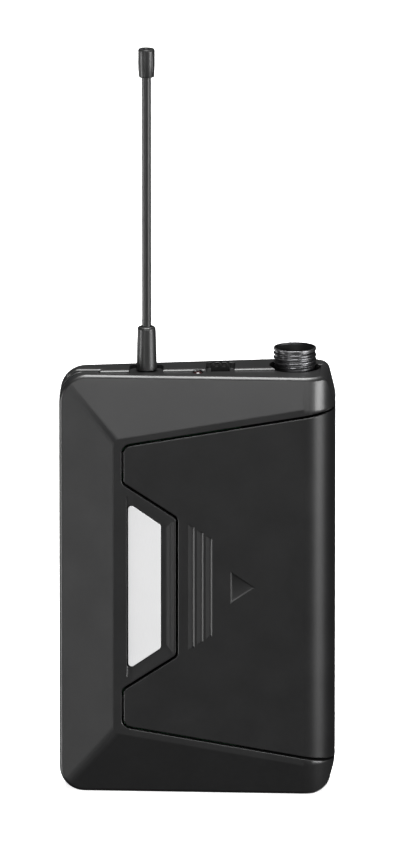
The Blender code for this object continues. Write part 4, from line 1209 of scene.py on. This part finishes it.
def belt_clip():
    outer = CLIP_GAP + CLIP_THICKNESS
    inner = CLIP_GAP + BELT_FACE_STEP
    low = CLIP_BOTTOM - CLIP_PIVOT_HEIGHT
    high = CLIP_TOP - CLIP_PIVOT_HEIGHT
    corners = [
        (0.5 * mm, low + 1.0 * mm, 0.5 * mm),
        (2.2 * mm, low + 0.2 * mm, 0.8 * mm),
        (outer, low + 4.5 * mm, 1.5 * mm),
        (outer, high, 0.6 * mm),
        (inner, high, 0.6 * mm),
        (inner, BELT_FACE_TOP + 0.4 * mm, 0),
        (CLIP_GAP, BELT_FACE_TOP, 0),
        (CLIP_GAP, low + 6.0 * mm, 1.0 * mm),
    ]
    arm = across_prism("belt_clip_arm", fillet(corners, 10), CLIP_HALF_WIDTH)
    join(arm, pivot_rod("barrel", BARREL_RADIUS, 48, CLIP_HALF_WIDTH - 0.01 * mm))
    cut(arm, pivot_rod("hole", PIN_RADIUS + GAP, 32, CLIP_HALF_WIDTH + 1 * mm))
    cut(arm, pivot_rod("notch", BARREL_RADIUS + 0.05 * mm, 48, 2.2 * mm))
    grips = []
    for step in range(5):
        middle = high - 2.2 * mm - step * 1.6 * mm
        shape = ((-0.35, -0.15), (0.5, -0.55), (0.5, 0.55), (-0.35, 0.15))
        outline = [Vector((outer + a * mm, middle + b * mm)) for a, b in shape]
        grips.append(across_prism("grip", outline, CLIP_HALF_WIDTH - 1.3 * mm))
    cut(arm, *grips)
    soften(arm, 0.3 * mm, 3, 45)
    dress(arm, "clip_plastic", "belt_clip", body="clip")

    pin = pivot_rod("clip_pin_rod", PIN_RADIUS, 40, CLIP_HALF_WIDTH + GAP + LUG_WIDTH)
    soften(pin, 0.2 * mm, 2, 60)
    dress(pin, "steel", "clip_pin", body=frame_body("clip_pin"))

    place = clip_matrix()
    length = 3.2 * mm
    centre = place @ Vector((-length / 2, CLIP_PIVOT_STANDOFF, 0))
    turn = place.to_3x3() @ Matrix(((0, 0, 1), (1, 0, 0), (0, 1, 0)))
    spring = coil("clip_spring_wire", centre, turn, lambda share: 1.75 * mm, length, 3.5, 0.28 * mm)
    dress(spring, "steel", "clip_spring", body=frame_body("clip_spring"))


def frame_body(node):
    """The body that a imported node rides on."""
    return frame["nodes"][node].parent.name.split(":", 1)[1]


def case_screws():
    for number, (x, z) in enumerate(SCREW_PLACES, 1):
        seat = back_at(x) - SCREW_HEAD_DEPTH + GAP
        tail = front_at(x, z) + WALL + 1.4 * mm
        outline = [
            (0, seat + 1.3 * mm, 0),
            (1.3 * mm, seat + 1.3 * mm, 0.5 * mm),
            (1.8 * mm, seat + 0.8 * mm, 0.25 * mm),
            (1.8 * mm, seat, 0.1 * mm),
            (0.8 * mm, seat, 0),
            (0.8 * mm, tail, 0),
            (0, tail, 0),
        ]
        screw = lathe(f"case_screw_{number}_head", Vector((x, 0, z)), outline, "Y", 40)
        arms = []
        for across, up in ((1.0 * mm, 0.2 * mm), (0.2 * mm, 1.0 * mm)):
            near = [Vector((x + a * across * 0.55, z + b * up * 0.55)) for a, b in SQUARE]
            far = [Vector((x + a * across, z + b * up)) for a, b in SQUARE]
            arms.append(loft_y("cross", (near, seat + 0.4 * mm), (far, seat + 1.6 * mm)))
        cut(screw, *arms)
        dress(screw, "steel", f"case_screw_{number}", sharp=35)


# --- the stage ---

AIM = Vector((0.475 * mm, 0, 84.16 * mm))
CAMERA_AZIMUTH = 2.0
CAMERA_ELEVATION = 13.5
CAMERA_LENS = 700.0
WHITE = (1, 1, 1, 1)
CAMERA_DISTANCE = 3.711


def aimed(data, azimuth, elevation, distance, target):
    """Puts a camera or a light out from its target; azimuth 0 is in front and 90 is on the right."""
    azimuth, elevation = math.radians(azimuth), math.radians(elevation)
    across = math.cos(elevation)
    out = Vector((math.sin(azimuth) * across, -math.cos(azimuth) * across, math.sin(elevation)))
    made = placed(data.name, data)
    made.location = target + out * distance
    made.rotation_euler = out.to_track_quat("Z", "Y").to_euler()
    return made


def camera():
    data = bpy.data.cameras.new("camera")
    data.lens = CAMERA_LENS
    made = aimed(data, CAMERA_AZIMUTH, CAMERA_ELEVATION, CAMERA_DISTANCE, AIM)
    bpy.context.scene.camera = made


def softbox(name, azimuth, elevation, distance, width, height, energy):
    """A rectangular studio light that faces the case."""
    data = bpy.data.lights.new(name, "AREA")
    data.shape = "RECTANGLE"
    data.size, data.size_y, data.energy = width, height, energy
    aimed(data, azimuth, elevation, distance, Vector((0, 0, MIDDLE)))


LIGHTS = {
    "front_high": (0, 16, 1.5, 1.6, 0.55, 11.4),
    "overhead": (0, 92, 1.1, 0.6, 0.95, 30.0),
    "right_upper": (60, 4, 1.1, 0.6, 0.3, 12.2),
    "left_front": (-28, -12, 1.3, 0.35, 0.35, 1.2),
    "left_low": (-75, -13, 1.1, 0.4, 0.5, 5.5),
    "back_left": (225, -14, 1.5, 1.0, 0.5, 3.0),
    "back_right": (150, -45, 1.5, 0.8, 0.6, 6.0),
}


def stage():
    bm = bmesh.new()
    bmesh.ops.create_circle(bm, cap_ends=True, segments=96, radius=1.25)
    floor = new_object("floor", bm)
    floor.location.z = -0.02 * mm
    floor.visible_diffuse = floor.visible_glossy = floor.visible_shadow = False
    paper = bpy.data.materials.new("floor_paper")
    paper.use_nodes = True
    set_sockets(paper.node_tree.nodes["Principled BSDF"], {
        "Base Color": (0.9, 0.9, 0.9, 1),
        "Roughness": 0.9,
        "Emission Color": WHITE,
        "Emission Strength": 0.85,
    })
    floor.data.materials.append(paper)

    world = bpy.data.worlds.new("studio")
    bpy.context.scene.world = world
    world.use_nodes = True
    nodes, links = world.node_tree.nodes, world.node_tree.links
    seen = nodes["Background"]
    set_sockets(seen, {"Color": WHITE, "Strength": 1.0})
    dim = nodes.new("ShaderNodeBackground")
    set_sockets(dim, {"Color": WHITE, "Strength": 0.01})
    mix = nodes.new("ShaderNodeMixShader")
    path = nodes.new("ShaderNodeLightPath")
    links.new(path.outputs["Is Camera Ray"], mix.inputs["Fac"])
    links.new(dim.outputs[0], mix.inputs[1])
    links.new(seen.outputs[0], mix.inputs[2])
    links.new(mix.outputs[0], nodes["World Output"].inputs["Surface"])
    for name, values in LIGHTS.items():
        softbox(name, *values)
    bpy.context.scene.view_settings.view_transform = "Standard"


KEPT = {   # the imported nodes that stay, by the material they get
    "brass": ("antenna_base", "mic_jack_contact"),
    "steel": ("shield_can", "power_switch_body", "battery_contact_positive"),
    "dark_metal": ("mic_jack_nut",),
    "board_green": ("main_board",),
    "led_clear": ("lamp_led",),
    "inner_plastic": (
        "battery_tray", "bank_selector_body", "channel_selector_body", "level_trimmer_body",
    ),
}
BUILDERS = (
    front_cover, rear_cover, battery_door, nameplate, top_panel, inner_panel, dial_marks, antenna,
    mic_collar, mic_insert, power_switch, lamp, dials, battery, belt_clip, case_screws,
)

camera()
stage()
for build in BUILDERS:
    build()
for kept_slot, kept_nodes in KEPT.items():
    for kept_node in kept_nodes:
        paint(frame["nodes"][kept_node].data, kept_slot)
